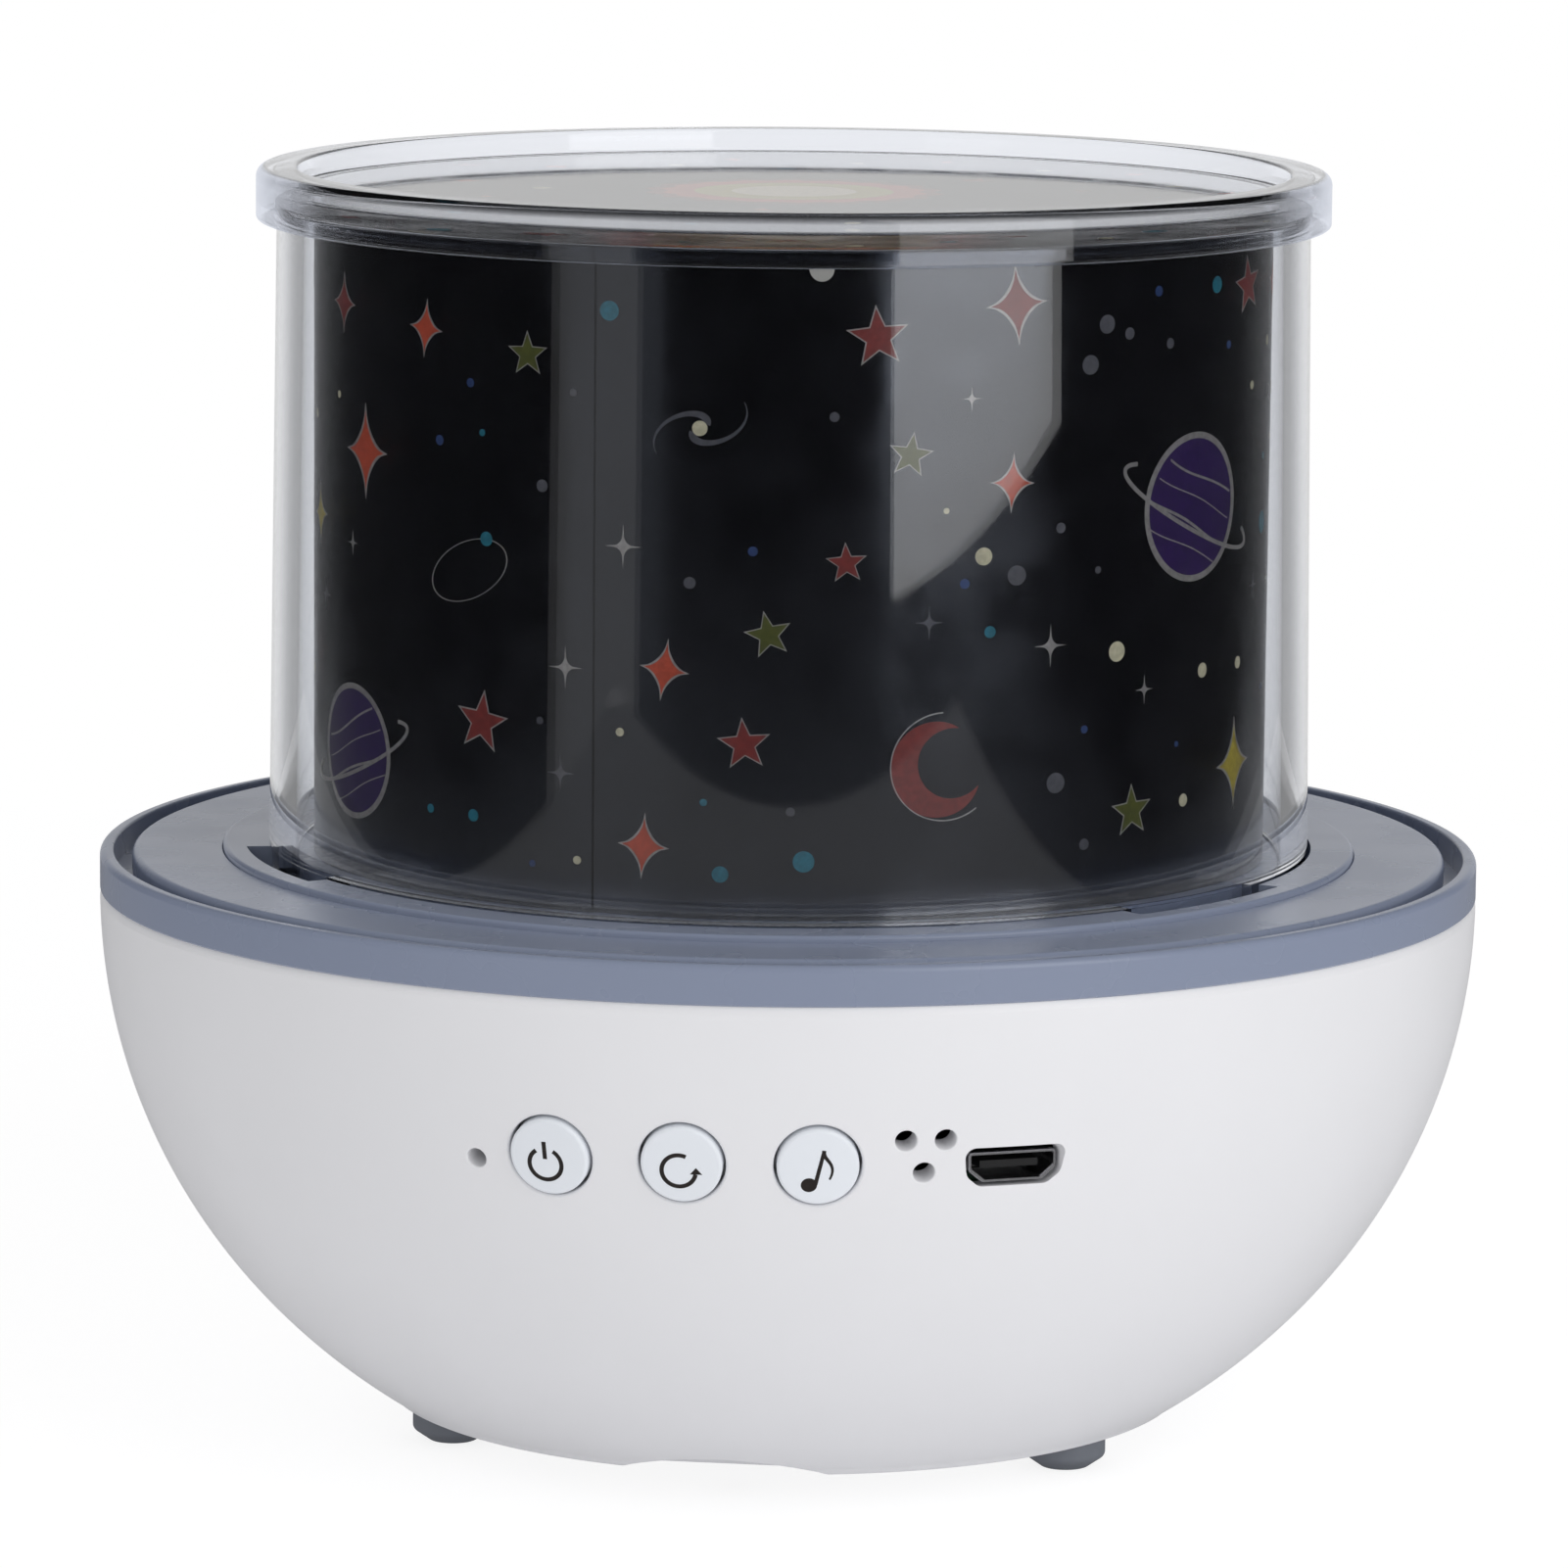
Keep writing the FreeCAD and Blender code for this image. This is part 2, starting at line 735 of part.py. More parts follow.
def make_bayonet_plate():
    """Make the raised plate with three entry pockets, three long slots and the collar."""
    body = revolve([
        (plate_hole_r, plate_z), (plate_r, plate_z), (plate_r, plate_top_z),
        (collar_out_r, plate_top_z), (collar_out_r, plate_top_z + collar_h),
        (collar_in_r, plate_top_z + collar_h), (collar_in_r, plate_top_z),
        (plate_hole_r, plate_top_z),
    ])
    low = plate_z - overrun
    high = plate_top_z + overrun
    start = pocket_azimuth - pocket_angle / 2
    slot_start = start + pocket_angle
    pocket = sector(slot_in_r, pocket_out_r, low, high, start, pocket_angle)
    slot = sector(slot_in_r, slot_out_r, low, high, slot_start - tab_play, slot_angle + tab_play)
    hole = disc(plate_screw_r + seat, low, high)
    sink = disc(plate_screw_head_r + seat, plate_top_z - plate_screw_head_h - seat, high)
    cuts = around(pocket, bayonet_count, 0) + around(slot, bayonet_count, 0)
    for shape in (hole, sink):
        cuts += around(moved(shape, 0, -plate_screw_pitch_r, 0), bayonet_count, 0)
    return body.cut(cuts)


def make_plate_screws():
    """Make the three sunk screws that hold the raised plate."""
    seat_z = plate_top_z - plate_screw_head_h - seat
    body = screw(plate_screw_r, plate_screw_head_r, plate_screw_head_h, seat_z - web_under_z)
    body = moved(body, 0, -plate_screw_pitch_r, seat_z)
    return Part.makeCompound(around(body, bayonet_count, 0))


def make_gear(teeth, face, low, bore):
    """Make a spur gear with involute flanks, one tooth pointing to azimuth 0."""
    pitch_r = gear_module * teeth / 2
    base_r = pitch_r * math.cos(math.radians(pressure_angle))
    tip_r = pitch_r + gear_module * tooth_tip_share
    root_r = pitch_r - gear_module * tooth_root_share
    start_r = max(base_r, root_r)

    def involute(radius):
        """Give the polar angle that an involute has gained at a radius."""
        roll = math.sqrt(max((radius / base_r) ** 2 - 1, 0))
        return roll - math.atan(roll)

    half_tooth = math.pi * tooth_thickness_share / teeth + involute(pitch_r)
    flank = []
    for i in range(flank_point_count):
        radius = start_r + (tip_r - start_r) * i / (flank_point_count - 1)
        flank.append((radius, half_tooth - involute(radius)))
    if root_r < base_r:
        flank.insert(0, (root_r, half_tooth))
    outline = []
    for tooth in range(teeth):
        middle = 2 * math.pi * tooth / teeth - math.pi / 2
        outline += [(radius, middle - angle) for radius, angle in flank]
        outline += [(radius, middle + angle) for radius, angle in reversed(flank)]
    corners = [FreeCAD.Vector(r * math.cos(a), r * math.sin(a), low) for r, a in outline]
    blank = Part.Face(Part.makePolygon(corners + corners[:1])).extrude(FreeCAD.Vector(0, 0, face))
    return blank.cut(disc(bore, low - overrun, low + face + overrun))


def make_drive_gear():
    """Make the large gear on the hub, a tooth pointing to the pinion."""
    return turned(make_gear(gear_tooth_count, gear_face, gear_z, hub_r + seat), motor_azimuth)


def make_pinion():
    """Make the motor's pinion, a tooth gap pointing to the large gear."""
    pinion = make_gear(pinion_tooth_count, pinion_face, pinion_z, shaft_r + seat)
    pinion = turned(pinion, 180 + 180 / pinion_tooth_count)
    return turned(moved(pinion, 0, -axle_distance, 0), motor_azimuth)


def at_motor(shape):
    """Carry a shape on the object's axis to the motor's axis."""
    return turned(moved(shape, 0, -axle_distance, 0), motor_azimuth)


def make_gearbox():
    """Make the gearbox case with its nose bearing and two screw ears."""
    top = deck_under_z - seat
    case = disc(gearbox_r, top - gearbox_h, top)
    nose = disc(gearbox_nose_r, top, top + gearbox_nose_h)
    ear_end = ear_reach + ear_w / 2
    bar = block((-ear_end, ear_end), (-ear_w / 2, ear_w / 2), (top - ear_t, top))
    bore = disc(shaft_r + run_fit, top - gearbox_h / 2, top + gearbox_nose_h + overrun)
    holes = [
        moved(disc(motor_screw_r + seat, top - gearbox_h, top + overrun), x, 0, 0)
        for x in (-ear_reach, ear_reach)
    ]
    return at_motor(joined([case, nose, bar]).cut([bore, *holes]))


def make_lamp_post():
    """Make the lamp post: spigot, screw flange, column and the dished head."""
    flange_top = post_flange_z + post_flange_t
    board_z = lamp_head_top_z - led_board_t - seat
    body = revolve([
        (lamp_wire_r, post_flange_z - lamp_spigot_h),
        (spindle_bore_r - seat, post_flange_z - lamp_spigot_h),
        (spindle_bore_r - seat, post_flange_z),
        (post_flange_r, post_flange_z), (post_flange_r, flange_top),
        (lamp_column_r, flange_top), (lamp_column_r, lamp_head_z),
        (lamp_head_r, lamp_head_z), (lamp_head_r, lamp_head_top_z),
        (led_board_r + gap, lamp_head_top_z), (led_board_r + gap, board_z),
        (lamp_wire_r, board_z),
    ])
    hole = disc(lamp_screw_r + seat, post_flange_z - overrun, flange_top + overrun)
    return body.cut(around(moved(hole, 0, -lamp_screw_pitch_r, 0), lamp_screw_count, 0))


def make_lamp_cap():
    """Make the round diffusing cap that stands on the head's rim, over the lights."""
    radius = lamp_head_r - seat
    inner_r = radius - lamp_cap_wall
    cap_z = lamp_head_top_z + lamp_cap_h
    return revolve([
        (inner_r, lamp_head_top_z), (radius, lamp_head_top_z), (radius, cap_z), (0, cap_z),
        (0, cap_z - lamp_cap_wall), (inner_r, cap_z - lamp_cap_wall),
    ])


def make_button(azimuth):
    """Make one push button: bevelled face, retaining flange and stem."""
    depth = axis_on_board(azimuth)[1]
    lean = abs(math.sin(math.radians(azimuth))) * stem_r
    flange_y = bowl_wall + flange_gap
    stem_end = depth - button_travel - contact_gap - lean
    cap = rod(button_r, -button_proud, flange_y)
    front = [edge for edge in cap.Edges if abs(edge.BoundBox.YMax + button_proud) < contact_gap
             and edge.BoundBox.XLength > button_r]
    cap = cap.makeChamfer(button_edge, front)
    flange = rod(button_r + flange_w, flange_y, flange_y + flange_t)
    stem = rod(stem_r, flange_y, stem_end)
    return placed(joined([cap, flange, stem]), wall_frame(azimuth, control_z, button_tilt))


def make_switch(azimuth):
    """Make the small push switch behind one button."""
    centre = axis_on_board(azimuth)[0]
    half = switch_side / 2
    case = block((-half, half), (switch_depth, board_depth - seat), (-half, half))
    plunger = rod(plunger_r, plunger_depth, switch_depth)
    return placed(moved(joined([case, plunger]), centre.x, 0, centre.z), board_frame)


def make_board():
    """Make the control board that stands behind the buttons."""
    board = block((-board_left_w, board_right_w), (board_depth, board_depth + board_t - seat),
                  (-board_down, board_up))
    hole = rod(board_screw_r + seat, board_depth - overrun, board_depth + board_t)
    holes = [moved(hole, x, 0, -lug_screw_drop) for x in (-lug_x, lug_x)]
    return placed(board.cut(holes), board_frame)


def make_board_screws():
    """Make the screws of the control board and of the charging board."""
    pieces = []
    for x in (-lug_x, lug_x):
        piece = screw(board_screw_r, board_screw_head_r, board_screw_head_h, board_screw_l)
        piece.rotate(origin, FreeCAD.Vector(1, 0, 0), 90)
        pieces.append(placed(moved(piece, x, board_depth - seat, -lug_screw_drop), board_frame))
    frame = wall_frame(socket_azimuth, base_h - socket_drop, 0)
    for x in charge_screw_places():
        piece = screw(board_screw_r, board_screw_head_r, board_screw_head_h, board_screw_l)
        pieces.append(placed(moved(piece, x, charge_screw_y(), seat - socket_h / 2), frame))
    return Part.makeCompound(pieces)


def make_pilot_led():
    """Make the pilot light on the control board, behind its hole."""
    frame = wall_frame(pilot_azimuth, base_h - pilot_drop, bowl_tilt(base_h - pilot_drop))
    to_board = board_frame.inverse().multiply(frame)
    start = to_board.multVec(origin)
    way = to_board.Rotation.multVec(side_y)
    spot = start + way * ((board_depth - start.y) / way.y)
    piece = block(
        (-pilot_led_w / 2, pilot_led_w / 2), (board_depth - pilot_led_t, board_depth - seat),
        (-pilot_led_h / 2, pilot_led_h / 2),
    )
    return placed(moved(piece, spot.x, 0, spot.z), board_frame)


def make_socket():
    """Make the folded metal shell of the charging socket."""
    back = socket_recess + socket_depth
    outer = socket_profile(0, socket_recess, back)
    inner = socket_profile(-socket_metal, socket_recess - overrun, back + overrun)
    return placed(outer.cut(inner), wall_frame(socket_azimuth, base_h - socket_drop, 0))


def make_socket_insert():
    """Make the black insert of the socket: a back wall and the contact tongue."""
    back = socket_recess + socket_depth
    wall = socket_profile(-socket_metal - seat, back - insert_back, back)
    tongue_z = socket_h / 2 - socket_metal - tongue_t - tongue_t
    tongue = block(
        (-tongue_w / 2, tongue_w / 2), (back - insert_back - tongue_l, back - insert_back),
        (tongue_z, tongue_z + tongue_t),
    )
    return placed(joined([wall, tongue]), wall_frame(socket_azimuth, base_h - socket_drop, 0))


def make_charge_board():
    """Make the small board that carries the socket on two ribs."""
    top = -socket_h / 2
    board = block(
        (-charge_board_w / 2, charge_board_w / 2),
        (charge_board_set_back, charge_board_set_back + charge_board_l),
        (top - charge_board_t + seat, top - seat),
    )
    holes = [
        Part.makeCylinder(board_screw_r + seat, charge_board_t + overrun,
                          FreeCAD.Vector(x, charge_screw_y(), overrun / 2 + top), -up)
        for x in charge_screw_places()
    ]
    return placed(board.cut(holes), wall_frame(socket_azimuth, base_h - socket_drop, 0))


def make_cell(x, to_back):
    """Make one round battery cell with its nub to the back or the front."""
    end = (cell_l + cell_nub_h) / 2
    piece = joined([rod(cell_r, -end, end - cell_nub_h), rod(cell_nub_r, end - cell_nub_h, end)])
    if not to_back:
        piece.rotate(origin, up, 180)
    return moved(piece, x, 0, cell_z)


def cell_places():
    """Give each cell's sideways place and whether its nub points to the back."""
    pitch = 2 * cell_r + cell_gap
    return [(pitch * (i - (cell_count - 1) / 2), i % 2 == 0) for i in range(cell_count)]


def make_flat_contacts():
    """Make the flat contact plates that meet the cells' nubs."""
    pieces = []
    end = bay_half_l - seat
    for x, to_back in cell_places():
        plate = block((-contact_r, contact_r), (end - contact_t, end), (-contact_r, contact_r))
        pad = block(
            (-cell_nub_r, cell_nub_r), ((cell_l + cell_nub_h) / 2 + seat, end - contact_t),
            (-cell_nub_r, cell_nub_r),
        )
        piece = joined([plate, pad])
        if not to_back:
            piece.rotate(origin, up, 180)
        pieces.append(moved(piece, x, 0, cell_z))
    return Part.makeCompound(pieces)


def make_spring_contacts():
    """Make the contact plates with the bent leaf springs that press on the cells."""
    pieces = []
    end = bay_half_l - seat
    start = (cell_l + cell_nub_h) / 2 + seat
    for x, to_back in cell_places():
        plate = block((-contact_r, contact_r), (end - contact_t, end), (-contact_r, contact_r))
        bends = [
            (end - contact_t, -contact_r), (end - contact_t, contact_t - contact_r), (start + contact_t, 0),
            (end - contact_t, contact_r - contact_t), (end - contact_t, contact_r), (start, 0),
        ]
        corners = [FreeCAD.Vector(-contact_r / 2, y, z) for y, z in bends]
        leaf = Part.Face(Part.makePolygon(corners + corners[:1])).extrude(FreeCAD.Vector(contact_r, 0, 0))
        piece = joined([plate, leaf])
        if to_back:
            piece.rotate(origin, up, 180)
        pieces.append(moved(piece, x, 0, cell_z))
    return Part.makeCompound(pieces)


def make_cover():
    """Make the clear cover tube with its three bayonet tabs."""
    wall = tube(cover_inner_r, cover_r, cover_z, cover_top_z)
    sweep = pocket_angle - tab_play - tab_play
    start = pocket_azimuth - sweep / 2
    leg = sector(cover_inner_r, cover_r, tab_top_z, cover_z, start, sweep)
    tab = sector(cover_inner_r, tab_out_r, tab_top_z - tab_t, tab_top_z, start, sweep)
    hook = joined([leg, tab])
    return joined([wall, *around(hook, bayonet_count, 0)])


def make_film():
    """Make the rolled film sleeve with the lap where its ends meet."""
    low = plate_top_z + seat
    wall = tube(film_r - film_t, film_r, low, film_top_z)
    lap = sector(film_r - film_t - film_t, film_r - film_t / 2, low, film_top_z,
                 film_lap_azimuth, film_lap_angle)
    return joined([wall, lap])


def make_lid():
    """Make the clear lid: recessed plate, raised rim, skirt and the small nub."""
    rim_in_r = lid_r - lid_rim_w
    skirt_in_r = cover_r + gap / 2
    body = revolve([
        (0, lid_plate_z), (skirt_in_r, lid_plate_z), (skirt_in_r, lid_skirt_z),
        (lid_r, lid_skirt_z), (lid_r, lid_top_z - lid_edge), (lid_r - lid_edge, lid_top_z),
        (rim_in_r, lid_top_z), (rim_in_r, lid_plate_z + lid_plate), (0, lid_plate_z + lid_plate),
    ])
    nub = moved(rod(lid_nub_r, gap - lid_r, -skirt_in_r), 0, 0, lid_skirt_z)
    return joined([body, turned(nub, lid_nub_azimuth)])


def make_speaker():
    """Make the speaker's magnet, basket and cone under the deck, facing down."""
    top = deck_under_z - seat
    throat_z = top - magnet_h
    rim_z = throat_z - basket_h
    magnet = disc(magnet_r, throat_z, top)
    basket = disc(basket_r, rim_z, throat_z - seat)
    cone = disc(basket_r - basket_t, rim_z - seat - cone_t, rim_z - seat)
    return [moved(piece, 0, speaker_y, 0) for piece in (magnet, basket, cone)]


def build():
    """Build every piece and write its file."""
    os.makedirs("parts", exist_ok=True)
    save("bowl_shell", make_bowl())
    save("battery_door", make_door())
    door_screw = screw(door_screw_r, door_screw_head_r, door_screw_head_h - seat, door_screw_l)
    door_screw.rotate(origin, FreeCAD.Vector(1, 0, 0), 180)
    boss_y = -door_half_l - door_tab_l / 2
    save("battery_door_screw", moved(door_screw, 0, boss_y, foot_h + door_screw_head_h - seat))
    foot = make_foot()
    for name, azimuth in (("foot_front_left", -post_azimuth), ("foot_front_right", post_azimuth),
                          ("foot_rear", 180)):
        save(name, turned(foot, azimuth))
    deck_screw = screw(post_screw_r, post_screw_head_r, post_screw_head_h, post_cap + post_screw_grip)
    deck_screw.rotate(origin, FreeCAD.Vector(1, 0, 0), 180)
    deck_screw = moved(deck_screw, 0, -post_pitch_r, post_top_z - post_cap - seat)
    save("deck_screws", Part.makeCompound(around(deck_screw, post_count, post_azimuth)))
    names = ("battery_left", "battery_middle", "battery_right")
    for name, (x, to_back) in zip(names, cell_places()):
        save(name, make_cell(x, to_back))
    save("flat_contacts", make_flat_contacts())
    save("spring_contacts", make_spring_contacts())

    save("bezel_deck", make_deck())
    save("gearbox_case", make_gearbox())
    motor_top = deck_under_z - seat - gearbox_h - seat
    save("motor_can", at_motor(disc(motor_r, motor_top - motor_h, motor_top)))
    motor_screw = screw(motor_screw_r, motor_screw_head_r, motor_screw_head_h,
                        deck_floor + seat + ear_t + gap)
    motor_screws = [at_motor(moved(motor_screw, x, 0, deck_z + seat)) for x in (-ear_reach, ear_reach)]
    save("motor_screws", Part.makeCompound(motor_screws))
    magnet, basket, cone = make_speaker()
    save("speaker_magnet", magnet)
    save("speaker_basket", basket)
    save("speaker_cone", cone)

    save("control_board", make_board())
    names = ("power", "rotate", "music")
    for name, azimuth in zip(names, (-button_azimuth, 0, button_azimuth)):
        save(f"{name}_switch", make_switch(azimuth))
        save(f"{name}_button", make_button(azimuth))
    save("pilot_led", make_pilot_led())
    save("board_screws", make_board_screws())
    save("charge_board", make_charge_board())
    save("usb_shell", make_socket())
    save("usb_insert", make_socket_insert())

    save("lamp_post", make_lamp_post())
    lamp_screw = screw(lamp_screw_r, lamp_screw_head_r, lamp_screw_head_h, lamp_screw_l)
    lamp_screw = moved(lamp_screw, 0, -lamp_screw_pitch_r, post_flange_z + post_flange_t + seat)
    save("lamp_post_screws", Part.makeCompound(around(lamp_screw, lamp_screw_count, 0)))
    board_z = lamp_head_top_z - led_board_t
    save("led_board", disc(led_board_r, board_z, lamp_head_top_z))
    half = led_side / 2
    led = block((-half, half), (-led_pitch_r - half, half - led_pitch_r),
                (lamp_head_top_z + seat, lamp_head_top_z + led_h))
    save("led_emitters", Part.makeCompound(around(led, led_count, 45)))
    save("lamp_cap", make_lamp_cap())

    save("turntable_disc", make_turntable())
    save("bayonet_plate", make_bayonet_plate())
    save("plate_screws", make_plate_screws())
    save("drive_gear", make_drive_gear())
    save("pinion", make_pinion())
    shaft_z = deck_under_z - seat - gearbox_h / 2
    save("output_shaft", at_motor(disc(shaft_r, shaft_z + seat, pinion_top_z)))

    save("cover_tube", make_cover())
    save("film_sleeve", make_film())
    save("lid", make_lid())
    save("top_film", disc(top_film_r, lid_plate_z - seat - top_film_t, lid_plate_z - seat))


build()
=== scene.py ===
"""Looks of a table-top star projector: a white bowl, a slate bezel and turntable, and a clear drum with a
printed film. Lengths in the classes below are millimetres as a maker would write them; meshes are in metres."""

from __future__ import annotations

import json
import logging
import math
from collections.abc import Sequence
from dataclasses import dataclass, field
from enum import Enum
from typing import Union

import bmesh
import bpy
import numpy as np
from mathutils import Matrix

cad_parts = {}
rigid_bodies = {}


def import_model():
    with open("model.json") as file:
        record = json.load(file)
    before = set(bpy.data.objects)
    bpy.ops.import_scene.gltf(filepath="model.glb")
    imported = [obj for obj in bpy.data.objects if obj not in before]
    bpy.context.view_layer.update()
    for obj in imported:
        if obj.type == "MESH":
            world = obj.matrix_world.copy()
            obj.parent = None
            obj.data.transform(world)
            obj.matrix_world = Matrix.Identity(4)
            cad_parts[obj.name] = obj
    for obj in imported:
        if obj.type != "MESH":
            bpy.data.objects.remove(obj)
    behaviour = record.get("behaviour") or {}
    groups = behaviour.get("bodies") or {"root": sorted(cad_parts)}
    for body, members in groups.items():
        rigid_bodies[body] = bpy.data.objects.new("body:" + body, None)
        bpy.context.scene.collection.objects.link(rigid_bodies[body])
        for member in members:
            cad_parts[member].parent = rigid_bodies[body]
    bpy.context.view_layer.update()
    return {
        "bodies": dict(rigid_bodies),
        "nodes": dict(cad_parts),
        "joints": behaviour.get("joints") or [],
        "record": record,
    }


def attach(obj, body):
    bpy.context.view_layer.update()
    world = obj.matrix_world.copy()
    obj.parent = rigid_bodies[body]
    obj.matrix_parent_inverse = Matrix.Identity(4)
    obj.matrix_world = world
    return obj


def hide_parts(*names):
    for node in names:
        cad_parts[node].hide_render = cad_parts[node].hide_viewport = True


log = logging.getLogger("star_projector")
MM = 0.001
CREASE = 32.0  # degrees above which an edge stays sharp
BED, INK, OVER = -0.01, 0.02, 0.026  # heights over the film: underside of a print, its face, a line on top of it

Colour = tuple[float, float, float, float]
Span = tuple[float, float]
Value = Union["Wire", float, tuple]


# ---------------------------------------------------------------- meshes

@dataclass(frozen=True)
class Patch:
    """Part of a skin: points in millimetres and the faces between them."""

    points: np.ndarray
    faces: np.ndarray

    def placed(self, matrix: np.ndarray) -> Patch:
        """Carry the patch into a frame given as a 4 x 4 matrix in millimetres."""
        turned = self.points @ matrix[:3, :3].T + matrix[:3, 3]
        return Patch(turned, self.faces)


def loft(loops: np.ndarray, ring: bool = True) -> Patch:
    """Skin a stack of loops, point to point.

    Args:
        loops: Array (k, n, 3) of k loops of n points; each loop closes on itself.
        ring: Whether the last loop joins the first again.

    Returns:
        A patch of quads between neighbouring points (i, j), (i+1, j), (i+1, j+1), (i, j+1).
    """
    k, n = loops.shape[:2]
    row = np.arange(k if ring else k - 1)[:, None]
    column = np.arange(n)[None, :]
    below, beside = (row + 1) % k, (column + 1) % n
    corners = [row * n + column, below * n + column, below * n + beside, row * n + beside]
    faces = np.stack([c + 0 * row * column for c in corners], -1).reshape(-1, 4)
    return Patch(loops.reshape(-1, 3), faces)


def capped(loops: np.ndarray) -> Patch:
    """Skin a stack of loops and close both ends flat."""
    ends = loops[[0, -1]].mean(1, keepdims=True) + 0 * loops[[0, -1]]
    return loft(np.concatenate([ends[:1], loops, ends[1:]]), ring=False)


def turn(outline: Sequence, start: float = 0.0, sweep: float = 360.0, segments: int = 360) -> Patch:
    """Turn an outline of (radius, height) about the upright axis; x = r sin a, y = -r cos a.

    Args:
        outline: Points (n, 2), closed on itself.
        start: Azimuth of the first copy in degrees, from the front, anticlockwise from above.
        sweep: Angle turned through; below 360 the ends are closed by flat caps.
        segments: Number of steps in the sweep.

    Returns:
        A closed patch.
    """
    outline = np.asarray(outline, float)
    full = sweep >= 360
    angles = np.radians(start + np.linspace(0, sweep, segments + 1))
    if full:
        angles = angles[:-1]
    r, z = outline[:, 0], outline[:, 1]
    loops = np.stack([r * np.sin(angles)[:, None], -r * np.cos(angles)[:, None], z + 0 * angles[:, None]], -1)
    return loft(loops) if full else capped(loops)


def rounded(corners: list, steps: int = 6) -> np.ndarray:
    """Round the corners of a closed outline.

    Each corner gives way to the arc that touches both of its sides. With half angle h between the sides the arc
    starts radius / tan(h) from the corner, and its points run evenly through the angle pi - 2h about its centre.

    Args:
        corners: Triples (a, b, radius) in order; radius 0 keeps the corner sharp.
        steps: Number of steps in each arc.

    Returns:
        Points (n, 2).
    """
    places = np.array([c[:2] for c in corners], float)
    points = []
    for i, (_, _, radius) in enumerate(corners):
        here = places[i]
        if not radius:
            points.append(here[None])
            continue
        back, ahead = places[i - 1] - here, places[(i + 1) % len(places)] - here
        back, ahead = back / np.hypot(*back), ahead / np.hypot(*ahead)
        half = math.acos(float(np.clip(back @ ahead, -1, 1))) / 2
        away = (back + ahead) / np.hypot(*(back + ahead))
        centre = here + away * radius / math.sin(half)
        first, last = here + back * radius / math.tan(half) - centre, here + ahead * radius / math.tan(half) - centre
        bend = math.pi - 2 * half
        share = np.linspace(0, 1, steps + 1)[:, None]
        points.append(centre + (first * np.sin((1 - share) * bend) + last * np.sin(share * bend)) / math.sin(bend))
    return np.concatenate(points)


def at_depth(outline: np.ndarray, y: float | np.ndarray) -> np.ndarray:
    """Stand a flat outline of (x, z) at a depth y."""
    return np.stack([outline[:, 0], np.zeros(len(outline)) + y, outline[:, 1]], -1)


def pushed(outline: Sequence, low: float, high: float) -> Patch:
    """Push a closed flat outline of (x, z) along y between two depths, with flat ends."""
    outline = np.asarray(outline, float)
    return capped(np.stack([at_depth(outline, y) for y in (low, high)]))


def box(x: Span, y: Span, z: Span) -> Patch:
    """Make a box from three (low, high) pairs."""
    outline = [(x[0], z[0]), (x[1], z[0]), (x[1], z[1]), (x[0], z[1])]
    return pushed(outline, *y)


def along_y(outline: Sequence, segments: int = 96) -> Patch:
    """Turn an outline of (radius, depth) about the y axis of its own frame.

    Args:
        outline: Points (n, 2), closed on itself.
        segments: Steps in the turn.

    Returns:
        A closed patch.
    """
    patch = turn(outline, segments=segments)
    x, y, z = patch.points.T
    return Patch(np.stack([x, z, y], -1), patch.faces)


def joined_mesh(name: str, patches: list[Patch]) -> bpy.types.Mesh:
    """Write patches into one mesh with welded poles, outward faces and creases by angle.

    Args:
        name: Name of the mesh.
        patches: Closed patches in millimetres.

    Returns:
        The Blender mesh, in metres.
    """
    offset, points, loops, totals = 0, [], [], []
    for patch in patches:
        points.append(patch.points)
        loops.append((patch.faces + offset).ravel())
        totals.append(np.full(len(patch.faces), patch.faces.shape[1]))
        offset += len(patch.points)
    points, loops, totals = np.concatenate(points) * MM, np.concatenate(loops), np.concatenate(totals)
    mesh = bpy.data.meshes.new(name)
    mesh.vertices.add(len(points))
    mesh.vertices.foreach_set("co", points.astype(np.float32).ravel())
    mesh.loops.add(len(loops))
    mesh.loops.foreach_set("vertex_index", loops.astype(np.int32))
    mesh.polygons.add(len(totals))
    mesh.polygons.foreach_set("loop_start", (np.cumsum(totals) - totals).astype(np.int32))
    mesh.update(calc_edges=True)
    work = bmesh.new()
    work.from_mesh(mesh)
    bmesh.ops.remove_doubles(work, verts=work.verts, dist=1e-7)
    bmesh.ops.dissolve_degenerate(work, edges=work.edges, dist=1e-8)
    bmesh.ops.recalc_face_normals(work, faces=work.faces)
    work.to_mesh(mesh)
    work.free()
    mesh.shade_smooth()
    mesh.set_sharp_from_angle(angle=math.radians(CREASE))
    return mesh


def azimuth_matrix(azimuth: float, x: float = 0.0, y: float = 0.0, z: float = 0.0) -> np.ndarray:
    """Give the 4 x 4 frame of a place (x, y, z) turned by an azimuth about the upright axis.

    Args:
        azimuth: Angle in degrees.
        x: Place before the turn, mm.
        y: Place before the turn, mm.
        z: Height, mm.

    Returns:
        The frame.
    """
    a = math.radians(azimuth)
    turned = np.eye(4)
    turned[:2, :2] = [[math.cos(a), -math.sin(a)], [math.sin(a), math.cos(a)]]
    place = np.eye(4)
    place[:3, 3] = (x, y, z)
    return turned @ place


